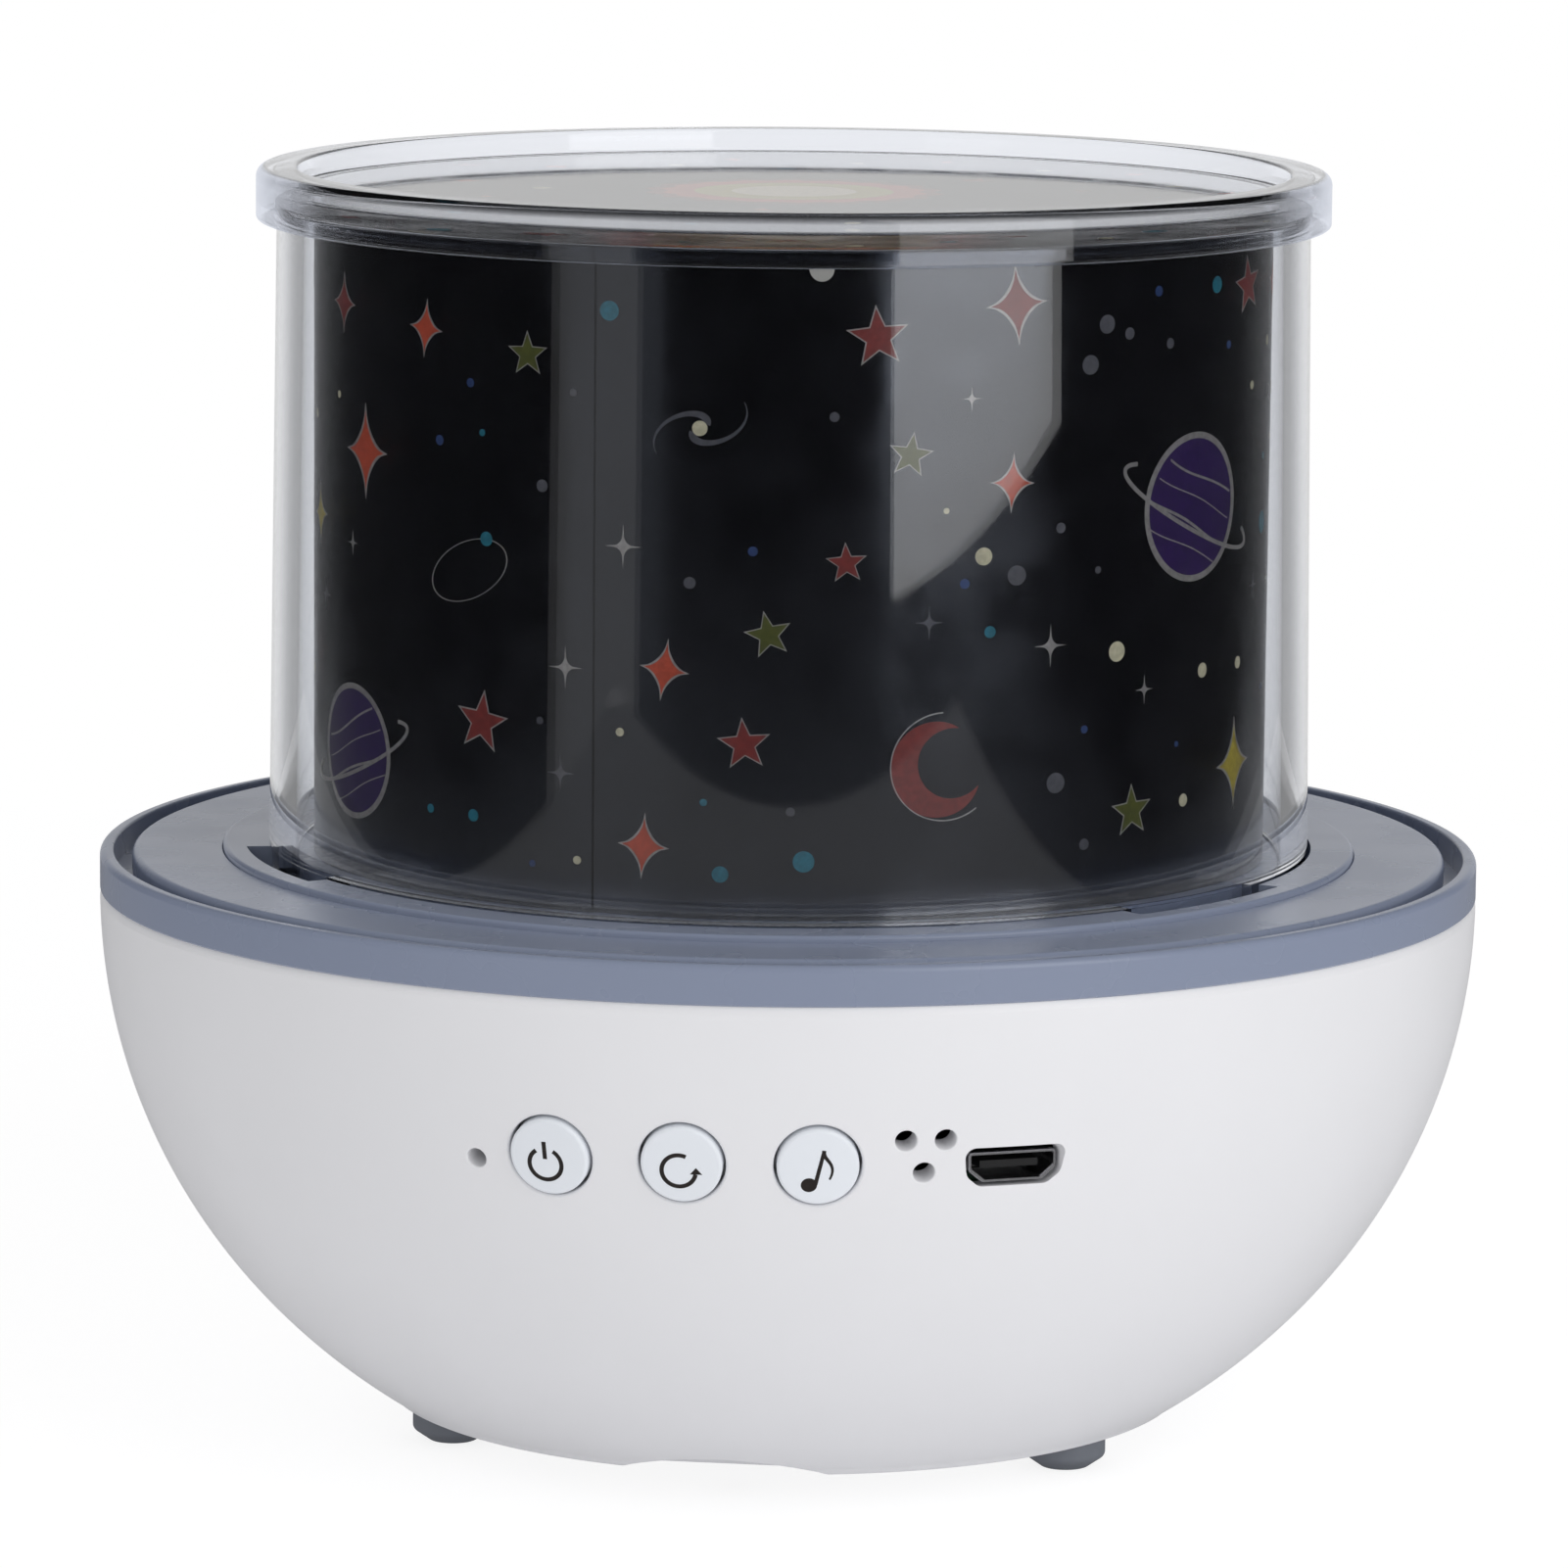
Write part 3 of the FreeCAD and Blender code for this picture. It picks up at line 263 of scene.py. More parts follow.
class Piece:
    """One shown piece: its mesh, the body it rides on and the solids it stands for."""

    def __init__(
            self, name: str, patches: list[Patch] | bpy.types.Mesh, body: str, material: bpy.types.Material,
            slot: str, stands_for: tuple = (), weighted: bool = True,
    ) -> None:
        """Make the object.

        Args:
            name: Name of the piece.
            patches: Closed patches in millimetres, or a ready mesh.
            body: The moving body it rides on.
            material: Its material.
            slot: Name of the record's material slot; not used.
            stands_for: Solids that it replaces.
            weighted: Whether large faces rule the shading near a rounding.
        """
        mesh = patches if isinstance(patches, bpy.types.Mesh) else joined_mesh(name, patches)
        self.object = bpy.data.objects.new(name, mesh)
        bpy.context.scene.collection.objects.link(self.object)
        mesh.materials.clear()
        mesh.materials.append(material)
        if weighted:
            finish = self.object.modifiers.new("shading", "WEIGHTED_NORMAL")
            finish.keep_sharp = True
        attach(self.object, body)
        if stands_for:
            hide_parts(*stands_for)
        log.info("%s: %d faces on %s", name, len(mesh.polygons), body)


def carved(
        name: str, patches: list[Patch], cutters: list[Patch], operation: str = "DIFFERENCE", crossing: bool = False,
) -> bpy.types.Mesh:
    """Cut patches out of a mesh (or add them to it).

    Args:
        name: Name of the mesh.
        patches: The closed patches that are kept.
        cutters: The closed patches that are taken away or added.
        operation: DIFFERENCE or UNION.
        crossing: Whether some cutters cross each other.

    Returns:
        The carved mesh.
    """
    kept = bpy.data.objects.new(name, joined_mesh(name, patches))
    tool = bpy.data.objects.new(f"{name}_tool", joined_mesh(f"{name}_tool", cutters))
    for thing in (kept, tool):
        bpy.context.scene.collection.objects.link(thing)
    cut = kept.modifiers.new("cut", "BOOLEAN")
    cut.operation, cut.solver, cut.object, cut.use_self = operation, "EXACT", tool, crossing
    shapes = bpy.context.evaluated_depsgraph_get()
    mesh = bpy.data.meshes.new_from_object(kept.evaluated_get(shapes))
    for thing in (kept, tool):
        spent = thing.data
        bpy.data.objects.remove(thing)
        bpy.data.meshes.remove(spent)
    mesh.name = name
    mesh.shade_smooth()
    mesh.set_sharp_from_angle(angle=math.radians(CREASE))
    return mesh


# ---------------------------------------------------------------- shaders

def srgb(red: float, green: float, blue: float) -> Colour:
    """Turn a colour as seen, 0 to 255, into linear light with full opacity.

    Args:
        red: Red as seen.
        green: Green as seen.
        blue: Blue as seen.

    Returns:
        The colour by the sRGB curve.
    """
    seen = np.array([red, green, blue]) / 255
    linear = np.where(seen <= 0.04045, seen / 12.92, ((seen + 0.055) / 1.055) ** 2.4)
    return (*linear.tolist(), 1.0)


class Wire:
    """One value in a material; sums on it read as sums."""

    def __init__(self, bench: Bench, socket: bpy.types.NodeSocket) -> None:
        """Hold the socket and the bench that it is on."""
        self.bench, self.socket = bench, socket

    def reckon(self, operation: str, *values: Value) -> Wire:
        """Add a maths node."""
        return self.bench.add("ShaderNodeMath", {"operation": operation}, values)

    def __add__(self, other: Value) -> Wire:
        """Sum."""
        return self.reckon("ADD", self, other)

    def __radd__(self, other: Value) -> Wire:
        """Sum, number first."""
        return self.reckon("ADD", other, self)

    def __sub__(self, other: Value) -> Wire:
        """Difference."""
        return self.reckon("SUBTRACT", self, other)

    def __rsub__(self, other: Value) -> Wire:
        """Difference, number first."""
        return self.reckon("SUBTRACT", other, self)

    def __mul__(self, other: Value) -> Wire:
        """Product."""
        return self.reckon("MULTIPLY", self, other)

    def __rmul__(self, other: Value) -> Wire:
        """Product, number first."""
        return self.reckon("MULTIPLY", other, self)

    def maximum(self, other: Value) -> Wire:
        """The larger of two values."""
        return self.reckon("MAXIMUM", self, other)

    def past(self, count: int) -> Wire:
        """Turn a count of bounces into 1 where it is above a number, else 0."""
        return self.eased(count + 0.2, count + 0.8)

    def eased(self, low: float, high: float, start: float = 0.0, end: float = 1.0) -> Wire:
        """Run smoothly from start to end while the value goes from low to high."""
        settings = {"interpolation_type": "SMOOTHSTEP"}
        return self.bench.add("ShaderNodeMapRange", settings, (self, low, high, start, end))


class Bench:
    """A node tree under work."""

    def __init__(self, name: str, world: bool = False) -> None:
        """Start an empty material or the world.

        Args:
            name: Its name.
            world: Whether it is the world.
        """
        self.owner = bpy.data.worlds.new(name) if world else bpy.data.materials.new(name)
        self.owner.use_nodes = True
        self.tree = self.owner.node_tree
        self.tree.nodes.clear()

    def add(
            self, kind: str, settings: dict | None = None, values: Sequence | dict = (), output: int | str = 0,
    ) -> Wire:
        """Add any node.

        Args:
            kind: The node's type.
            settings: Its settings, made before its sockets are filled.
            values: Values or wires by socket, in order or by name.
            output: Number or name of the output that the returned wire takes.

        Returns:
            A wire from that output.
        """
        node = self.tree.nodes.new(kind)
        for name, value in (settings or {}).items():
            setattr(node, name, value)
        for key, value in values.items() if isinstance(values, dict) else enumerate(values):
            if isinstance(value, Wire):
                self.tree.links.new(value.socket, node.inputs[key])
            else:
                node.inputs[key].default_value = value
        return Wire(self, node.outputs[output])

    def place(self) -> Wire:
        """Give the place on the object, in metres."""
        return self.add("ShaderNodeTexCoord", output=3)

    def noise(self, size: float, detail: float = 2.0, stretch: tuple = (1.0, 1.0, 1.0), rough: float = 0.5) -> Wire:
        """Give cloudy noise whose grains are about size millimetres, stretched along the axes.

        Args:
            size: Size of the grains, mm.
            detail: How many finer layers are added.
            stretch: Factor on each axis.
            rough: Share of the finer layers.

        Returns:
            A wire of 0 to 1.
        """
        scaled = self.add("ShaderNodeVectorMath", {"operation": "MULTIPLY"}, (self.place(), stretch))
        values = {"Vector": scaled, "Scale": 1 / (size * MM), "Detail": detail, "Roughness": rough}
        return self.add("ShaderNodeTexNoise", None, values)

    def blend(self, share: Value, first: Value, second: Value) -> Wire:
        """Mix two colours."""
        return self.add("ShaderNodeMix", {"data_type": "RGBA"}, {0: share, 6: first, 7: second}, output=2)

    def bump(self, height: Wire, depth: float, strength: float = 1.0) -> Wire:
        """Give the normal of a surface raised by height times depth millimetres."""
        return self.add("ShaderNodeBump", None, {"Strength": strength, "Distance": depth * MM, "Height": height})

    def principled(self, values: Sequence | dict) -> Wire:
        """Add a Principled shader with values or wires by socket name."""
        return self.add("ShaderNodeBsdfPrincipled", None, values)

    def output(self, surface: Wire) -> bpy.types.ID:
        """Join a shader to the output.

        Args:
            surface: The shader's wire.

        Returns:
            The material or the world.
        """
        kind = "ShaderNodeOutputWorld" if isinstance(self.owner, bpy.types.World) else "ShaderNodeOutputMaterial"
        node = self.tree.nodes.new(kind)
        self.tree.links.new(surface.socket, node.inputs[0])
        return self.owner


def shade(colour: Colour, factor: float) -> Colour:
    """Make a colour darker or lighter."""
    return (*[min(c * factor, 1.0) for c in colour[:3]], 1.0)


@dataclass(frozen=True)
class MouldedPlastic:
    """A moulded plastic with fine spark-eroded grain."""

    label: str
    colour: tuple
    roughness: float = 0.45
    grain: float = 0.004
    grain_size: float = 0.16
    drift: float = 0.03

    def make(self) -> bpy.types.Material:
        """Make the material: grain in the bump, slow drift in colour and gloss.

        Returns:
            The material.
        """
        bench = Bench(self.label)
        cloud = bench.noise(9.0, 3.0)
        fine = bench.noise(self.grain_size, 2.0)
        colour = bench.blend(cloud, shade(self.colour, 1 - self.drift), shade(self.colour, 1 + self.drift / 2))
        rough = cloud.eased(0.3, 0.7, self.roughness * 0.93, self.roughness * 1.07)
        return bench.output(bench.principled({
            "Base Color": colour, "Roughness": rough, "Normal": bench.bump(fine, self.grain),
            "IOR": 1.5,
        }))


@dataclass(frozen=True)
class Metal:
    """A plated or drawn metal with fine marks along one axis."""

    label: str
    colour: tuple
    roughness: float = 0.28
    stretch: tuple = (1.0, 1.0, 0.06)

    def make(self) -> bpy.types.Material:
        """Make the material: drawn marks in gloss and bump.

        Returns:
            The material.
        """
        bench = Bench(self.label)
        marks = bench.noise(0.12, 2.0, self.stretch)
        cloud = bench.noise(2.5, 2.0)
        return bench.output(bench.principled({
            "Base Color": bench.blend(cloud, shade(self.colour, 0.9), self.colour), "Metallic": 1.0,
            "Roughness": marks.eased(0.2, 0.8, self.roughness * 0.7, self.roughness * 1.4),
            "Normal": bench.bump(marks, 0.003),
        }))


@dataclass(frozen=True)
class ClearPlastic:
    """A clear moulded plastic with faint flow marks."""

    label: str
    tint: tuple = (0.93, 0.945, 0.975, 1.0)
    roughness: float = 0.012
    wave: float = 0.0015
    rim_r: float = 0.0

    def make(self) -> bpy.types.Material:
        """Make the material: faint slow waves in the surface.

        Beyond the radius rim_r, where the wall is seen edge on, it lets the light behind straight through: many
        small bounces in a thick rim blur into that pale look.

        Returns:
            The material.
        """
        bench = Bench(self.label)
        flow = bench.noise(14.0, 2.0, (1.0, 1.0, 0.4))
        haze = bench.noise(3.0, 4.0)
        surface = bench.principled({
            "Base Color": self.tint, "Roughness": haze.eased(0.35, 0.8, self.roughness, self.roughness * 2.5),
            "Transmission Weight": 1.0, "IOR": 1.49, "Normal": bench.bump(flow, self.wave),
        })
        if self.rim_r:
            level = bench.add("ShaderNodeVectorMath", {"operation": "MULTIPLY"}, (bench.place(), (1.0, 1.0, 0.0)))
            radius = bench.add("ShaderNodeVectorMath", {"operation": "LENGTH"}, (level,), output=1)
            edge_on = bench.add("ShaderNodeLayerWeight", None, {"Blend": 0.5}, output=1)
            share = radius.eased(self.rim_r * MM, (self.rim_r + 0.5) * MM) * edge_on.eased(0.35, 0.85, 0.0, 0.8)
            straight = bench.add("ShaderNodeBsdfTransparent", None, {"Color": self.tint})
            surface = bench.add("ShaderNodeMixShader", None, (share, surface, straight))
        return bench.output(surface)


@dataclass(frozen=True)
class FilmBase:
    """The near-black printed sheet, glossy, with soft buckles."""

    label: str
    colour: tuple
    roughness: float = 0.12

    def make(self) -> bpy.types.Material:
        """Make the material: soft upright buckles and a drift in gloss.

        Returns:
            The material.
        """
        bench = Bench(self.label)
        buckle = bench.noise(22.0, 2.0, (1.0, 1.0, 0.35))
        cloud = bench.noise(6.0, 3.0)
        return bench.output(bench.principled({
            "Base Color": bench.blend(cloud, shade(self.colour, 0.7), self.colour),
            "Roughness": cloud.eased(0.3, 0.7, self.roughness, self.roughness * 1.8),
            "Normal": bench.bump(buckle, 0.12), "IOR": 1.85, "Specular Tint": (0.84, 0.89, 1.0, 1.0),
        }))


@dataclass(frozen=True)
class Ink:
    """A print colour on the film, a little uneven."""

    label: str
    colour: tuple
    metallic: float = 0.0
    roughness: float = 0.3

    def make(self) -> bpy.types.Material:
        """Make the material: mottled ink.

        Returns:
            The material.
        """
        bench = Bench(self.label)
        mottle = bench.noise(0.5, 3.0)
        return bench.output(bench.principled({
            "Base Color": bench.blend(mottle.eased(0.3, 0.7), shade(self.colour, 0.75), self.colour),
            "Metallic": self.metallic, "Roughness": self.roughness,
        }))


class Finish(Enum):
    """Every finish of the object."""

    SHELL = MouldedPlastic("white_shell", srgb(233, 233, 236), 0.42, drift=0.012)
    BUTTON = MouldedPlastic("button_white", srgb(232, 236, 242), 0.3, grain=0.001)
    SLATE = MouldedPlastic("slate_plastic", srgb(134, 143, 165), 0.27, grain=0.002, drift=0.012)
    RUBBER = MouldedPlastic("foot_rubber", srgb(112, 116, 124), 0.7, grain=0.01)
    CLEAR = ClearPlastic("clear_plastic")
    CLEAR_LID = ClearPlastic("clear_lid_plastic", (0.87, 0.89, 0.94, 1.0), 0.03, rim_r=45.6)
    FILM = FilmBase("printed_film", srgb(11, 10, 14))
    STEEL = Metal("screw_steel", srgb(190, 190, 192))
    GEAR = MouldedPlastic("gear_plastic", srgb(236, 232, 220), 0.4)
    SHAFT = Metal("shaft_steel", srgb(196, 196, 200), 0.2)
    JACKET = MouldedPlastic("cell_jacket", srgb(60, 92, 150), 0.3, grain=0.001)
    BOARD = MouldedPlastic("board_green", srgb(30, 92, 60), 0.35, grain=0.006, grain_size=0.9)
    BLACK = MouldedPlastic("black_plastic", srgb(28, 28, 30), 0.4)
    MAGNET = Metal("magnet_steel", srgb(120, 122, 128), 0.4)
    PAPER = MouldedPlastic("cone_paper", srgb(70, 68, 64), 0.9, grain=0.03, grain_size=0.4)
    BOARD_WHITE = MouldedPlastic("white_board", srgb(238, 238, 234), 0.35)
    PHOSPHOR = MouldedPlastic("led_yellow", srgb(240, 205, 70), 0.4)
    MILKY = MouldedPlastic("milky_clear", srgb(226, 228, 230), 0.3)
    FROSTED = MouldedPlastic("frosted_nub", srgb(128, 128, 126), 0.5, grain=0.02, grain_size=0.3)
    PRINT_BLACK = Ink("print_black", srgb(42, 34, 32), roughness=0.5)


class Shelf:
    """The materials made so far, one for each finish."""

    def __init__(self) -> None:
        """Start empty."""
        self.made = {}

    def get(self, finish: Finish | Tint) -> bpy.types.Material:
        """Give the material of a finish, made once.

        Args:
            finish: The finish or print colour.

        Returns:
            Its material.
        """
        if finish not in self.made:
            self.made[finish] = finish.value.make()
        return self.made[finish]


# ---------------------------------------------------------------- base

@dataclass(frozen=True)
class BowlShape:
    """The bowl's outline, a squared-off ellipse."""

    outer_r: float = 60.0
    lip_z: float = 47.35
    foot_z: float = 2.65
    floor_z: float = 4.85
    depth: float = 53.84
    height_power: float = 2.03
    radius_power: float = 2.09
    wall: float = 2.2

    def radius(self, z: np.ndarray) -> np.ndarray:
        """Outer radius: R (1 - ((lip - z) / depth)^p)^(1/q)."""
        share = np.clip((self.lip_z - np.asarray(z, float)) / self.depth, 0, 1)
        return self.outer_r * (1 - share ** self.height_power) ** (1 / self.radius_power)

    def tilt(self, z: np.ndarray) -> np.ndarray:
        """Angle in degrees by which the surface faces down, from the slope of the radius."""
        slope = (self.radius(np.asarray(z) + 0.02) - self.radius(np.asarray(z) - 0.02)) / 0.04
        return np.degrees(np.arctan(slope))

    def inner(self, z: np.ndarray) -> np.ndarray:
        """Radius of the inner face: the wall thickness measured across the slope."""
        lean = np.radians(self.tilt(np.minimum(z, self.lip_z - 0.3)))
        return self.radius(z) - self.wall / np.cos(lean)

    def levels(self, low: float, count: int) -> np.ndarray:
        """Heights from the lip down to low, evenly round the curve: lip - depth sin(t)."""
        end = math.asin((self.lip_z - low) / self.depth)
        return self.lip_z - self.depth * np.sin(np.linspace(0, end, count))

    def frame(self, azimuth: float, z: float, tilt: float | None = None) -> np.ndarray:
        """Frame of a feature on the outer surface: y goes in, x to the right.

        Args:
            azimuth: Its azimuth, degrees.
            z: Its height.
            tilt: Lean in degrees; the surface's own if not given.

        Returns:
            A 4 x 4 frame in millimetres.
        """
        lean = math.radians(float(self.tilt(z)) if tilt is None else tilt)
        leaned = np.eye(4)
        leaned[1:3, 1:3] = [[math.cos(lean), -math.sin(lean)], [math.sin(lean), math.cos(lean)]]
        leaned[:3, 3] = (0, -float(self.radius(z)), z)
        return azimuth_matrix(azimuth) @ leaned

    def lowered(self, patch: Patch, frame: np.ndarray, reach: float) -> Patch:
        """Bend a cutter so that its zero depth lies on the bowl, and put it there.

        The bowl's surface near the frame is taken as y = x^2 / (2 R) + z^2 / (2 M), with R the radius there and M
        the radius of the outline's own curve; points deeper than reach stay.

        Args:
            patch: The cutter, along y.
            frame: Its frame on the bowl.
            reach: Depth at which the bend has died out.

        Returns:
            The bent cutter in its place.
        """
        z = frame[2, 3]
        across = float(self.radius(z)) * math.cos(math.radians(float(self.tilt(z))))
        bend = math.radians(float(self.tilt(z - 1) - self.tilt(z + 1))) / 2
        x, y, up = patch.points.T
        sunk = x ** 2 / (2 * across) + up ** 2 * bend / 2 * math.cos(math.radians(float(self.tilt(z))))
        share = np.clip((reach - y) / reach, 0, 1)
        return Patch(np.stack([x, y + sunk * share, up], -1), patch.faces).placed(frame)


@dataclass(frozen=True)
class HoleSize:
    """A round hole in the bowl: azimuth, height, radius, rim rounding and depth."""

    azimuth: float
    z: float
    radius: float
    rim: float
    depth: float

    def cutter(self, rim_steps: int = 5, start: float = 18.0) -> Patch:
        """Make the cutter: a bore whose rim flares out over the last part of a quarter circle.

        Args:
            rim_steps: Steps round the flare.
            start: Angle in degrees at which the quarter circle begins.

        Returns:
            A closed patch along y, zero depth at the surface.
        """
        bend = np.linspace(math.radians(start), math.pi / 2, rim_steps + 1)
        r = self.radius + self.rim * (1 - np.sin(bend))
        y = self.rim * (1 - np.cos(bend))
        outer = r[0] + 0.4 * self.rim / math.tan(math.radians(start)) * 0.5
        outline = [(0, -1.0), (outer, -1.0), (outer, -0.12 * self.rim)]
        outline += list(zip(r, y)) + [(self.radius, self.depth), (0, self.depth)]
        return along_y(outline, 72)


def socket_outline(grow: float) -> np.ndarray:
    """Give the outline of the charging socket, flat on top with cut lower corners, rounded.

    Args:
        grow: Distance by which it lies outside the standard shell.

    Returns:
        Points (n, 2).
    """
    w, h, cut_w, cut_h = 3.75 + grow, 1.225 + grow, 1.15, 0.95
    r = max(0.3 + grow, 0.12)
    return rounded([
        (-w, h, r), (w, h, r), (w, cut_h - h, r * 1.6), (w - cut_w, -h, r * 1.6),
        (cut_w - w, -h, r * 1.6), (-w, cut_h - h, r * 1.6),
    ], 6)


@dataclass(frozen=True)
class Base:
    """The bowl with its openings, the feet, the socket, and the bezel in one with the deck.

    The battery door and all that is inside stay solids.
    """

    shelf: Shelf
    shape: BowlShape = BowlShape()
    button_azimuths: tuple = (-10.9, 0.0, 10.9)
    button_z: float = 34.0
    button_hole_r: float = 3.6
    button_rim: float = 0.28
    pilot: HoleSize = HoleSize(-17.4, 33.25, 0.85, 0.12, 3.0)
    sound: tuple = (
        HoleSize(17.85, 36.1, 0.9, 0.14, 3.0), HoleSize(21.05, 36.1, 0.9, 0.14, 3.0),
        HoleSize(19.45, 33.3, 0.9, 0.14, 3.0),
    )
    socket_azimuth: float = 27.0
    socket_z: float = 33.45
    socket_flare: tuple = ((0.63, -1.2), (0.56, -0.35), (0.45, 0.05), (0.36, 0.35), (0.33, 0.7), (0.33, 5.0))
    shell_fold: tuple = ((-0.04, 0.6), (0.0, 0.66), (0.0, 7.1), (-0.25, 7.1), (-0.25, 0.72), (-0.19, 0.6))
    scoop_w: float = 17.7
    scoop_h: float = 1.8
    scoop_reach: float = 42.0
    door_half_w: float = 17.6
    door_half_l: float = 25.44
    door_tab_w: float = 12.0
    door_tab_l: float = 5.6
    door_corner_r: float = 0.8
    door_gap: float = 0.2
    bezel_top_z: float = 50.75
    bezel_in_r: float = 58.8
    bezel_skirt_r: float = 57.0
    well_r: float = 52.5
    well_lip_z: float = 48.35
    deck_r: float = 54.5
    deck_step_z: float = 45.35
    deck_low_z: float = 40.7
    deck_z: float = 42.5
    spindle_r: float = 9.0
    spindle_bore_r: float = 5.0
    spindle_z: float = 48.95
    spindle_foot_r: float = 11.5
    spindle_foot_z: float = 42.75
    feet: tuple = (("foot_front_left", -60), ("foot_front_right", 60), ("foot_rear", 180))
    foot_place_r: float = 30.9
    foot_r: float = 3.5
    foot_tread_r: float = 2.0

    def build(self) -> None:
        """Make all the base's pieces."""
        self.make_bowl()
        self.make_bezel()
        self.make_feet()
        self.make_socket()

    def door_outline(self) -> np.ndarray:
        """Give the outline of the door's opening with the bay of its tab.

        Returns:
            Points (n, 2) of (x, y).
        """
        gap, r = self.door_gap, self.door_corner_r
        w, l, t = self.door_half_w + gap, self.door_half_l + gap, self.door_tab_w / 2 + gap
        tip = -self.door_half_l - self.door_tab_l - gap
        return rounded([
            (-w, -l, r), (-t, -l, 0.0), (-t, tip, r), (t, tip, r), (t, -l, 0.0), (w, -l, r), (w, l, r), (-w, l, r),
        ], 5)

    def make_bowl(self) -> None:
        """Make the bowl: a turned skin with the openings cut and its true normals set."""
        shape, edge = self.shape, 0.35
        outer = shape.levels(shape.foot_z + edge, 76)
        inner = shape.levels(shape.floor_z, 48)[::-1]
        foot_r = float(shape.radius(shape.foot_z + edge))
        outline = np.concatenate([
            [(59.7, shape.lip_z)],
            np.stack([shape.radius(outer[1:]), outer[1:]], -1),
            [(foot_r - 0.14, shape.foot_z + 0.16), (foot_r - 0.42, shape.foot_z + 0.03), (foot_r - 0.8, shape.foot_z)],
            [(0, shape.foot_z), (0, shape.floor_z)],
            np.stack([shape.inner(inner), inner], -1),
        ])
        cuts = []
        for azimuth in self.button_azimuths:
            hole = HoleSize(azimuth, self.button_z, self.button_hole_r, self.button_rim, 4.0)
            cuts.append(shape.lowered(hole.cutter(), shape.frame(azimuth, hole.z), 1.5))
        for hole in (self.pilot, *self.sound):
            cuts.append(shape.lowered(hole.cutter(), shape.frame(hole.azimuth, hole.z), 1.0))
        cuts.append(self.socket_cut())
        cuts.append(self.scoop_cut())
        flat = pushed(self.door_outline(), shape.foot_z - 2, shape.floor_z + 1)
        x, y, z = flat.points.T
        cuts.append(Patch(np.stack([x, z, y], -1), flat.faces))
        mesh = carved("bowl_skin", [turn(outline, segments=300)], cuts, crossing=True)
        self.true_normals(mesh)
        Piece("bowl_skin", mesh, "base", self.shelf.get(Finish.SHELL), "white_shell", ("bowl_shell",), False)

    def socket_cut(self) -> Patch:
        """Make the cutter of the socket's opening, its rim eased outwards and leaning with the bowl.

        Returns:
            A closed patch: the socket's outline grown and set in by each step of the flare.
        """
        frame = self.shape.frame(self.socket_azimuth, self.socket_z, 0.0)
        loops = []
        for grow, y in self.socket_flare:
            flat = socket_outline(grow)
            loops.append(at_depth(flat, y + 0.26 * flat[:, 1]))
        return capped(np.stack(loops)).placed(frame)

    def scoop_cut(self) -> Patch:
        """Make the cutter of the finger scoop at the front edge of the floor.

        Returns:
            A closed patch under an arc of the scoop's width and height.
        """
        foot_z = self.shape.foot_z
        radius = (self.scoop_w ** 2 / 4 + self.scoop_h ** 2) / (2 * self.scoop_h)
        half = math.asin(self.scoop_w / 2 / radius) * 1.25
        bend = np.linspace(-half, half, 41)
        outline = np.stack([radius * np.sin(bend), foot_z + self.scoop_h - radius + radius * np.cos(bend)], -1)
        low = np.array([(outline[-1, 0], foot_z - 3), (outline[0, 0], foot_z - 3)])
        return pushed(np.concatenate([outline, low]), -self.scoop_reach, -self.door_half_l - self.door_tab_l)

    def true_normals(self, mesh: bpy.types.Mesh) -> None:
        """Give the outer skin the normals of its formula: outwards (1, -dr/dz), turned with the azimuth.

        Args:
            mesh: The bowl's mesh.
        """
        points = np.zeros(len(mesh.vertices) * 3, np.float32)
        mesh.vertices.foreach_get("co", points)
        points = points.reshape(-1, 3) / MM
        corner = np.zeros(len(mesh.loops), np.int32)
        mesh.loops.foreach_get("vertex_index", corner)
        facing = np.zeros(len(mesh.polygons) * 3, np.float32)
        mesh.polygons.foreach_get("normal", facing)
        totals = np.zeros(len(mesh.polygons), np.int32)
        mesh.polygons.foreach_get("loop_total", totals)
        facing = np.repeat(facing.reshape(-1, 3), totals, 0)
        low, high = 3.2, 47.2
        x, y, z = points[corner].T
        r = np.hypot(x, y)
        lean = np.radians(self.shape.tilt(np.clip(z, low, high)))
        out = np.stack([x / np.maximum(r, 1), y / np.maximum(r, 1), -np.tan(lean)], -1)
        out /= np.linalg.norm(out, axis=1, keepdims=True)
        on_skin = (np.abs(r - self.shape.radius(z)) < 0.05) & ((out * facing).sum(1) > 0.985) & (z > low) & (z < high)
        out[~on_skin] = 0
        mesh.normals_split_custom_set(out.tolist())

    def make_bezel(self) -> None:
        """Make the bezel ring in one with the sunk deck and its spindle, turned from one outline."""
        lip_z, outer_r = self.shape.lip_z, self.shape.outer_r
        outline = rounded([
            (self.spindle_bore_r, self.deck_low_z, 0), (self.deck_r, self.deck_low_z, 0),
            (self.deck_r, self.deck_step_z, 0), (self.bezel_skirt_r, self.deck_step_z, 0),
            (self.bezel_skirt_r, lip_z, 0), (outer_r - 0.2, lip_z, 0), (outer_r, lip_z + 0.15, 0),
            (outer_r, self.bezel_top_z, 0.55), (self.bezel_in_r, self.bezel_top_z, 0.22),
            (self.bezel_in_r, self.well_lip_z, 0), (self.well_r, self.well_lip_z, 0.2), (self.well_r, self.deck_z, 0.3),
            (self.spindle_foot_r, self.deck_z, 0), (self.spindle_foot_r, self.spindle_foot_z, 0),
            (self.spindle_r, self.spindle_foot_z, 0), (self.spindle_r, self.spindle_z, 0.3),
            (self.spindle_bore_r, self.spindle_z, 0.2),
        ])
        Piece("bezel_ring", [turn(outline)], "base", self.shelf.get(Finish.SLATE), "slate_plastic", ("bezel_deck",))

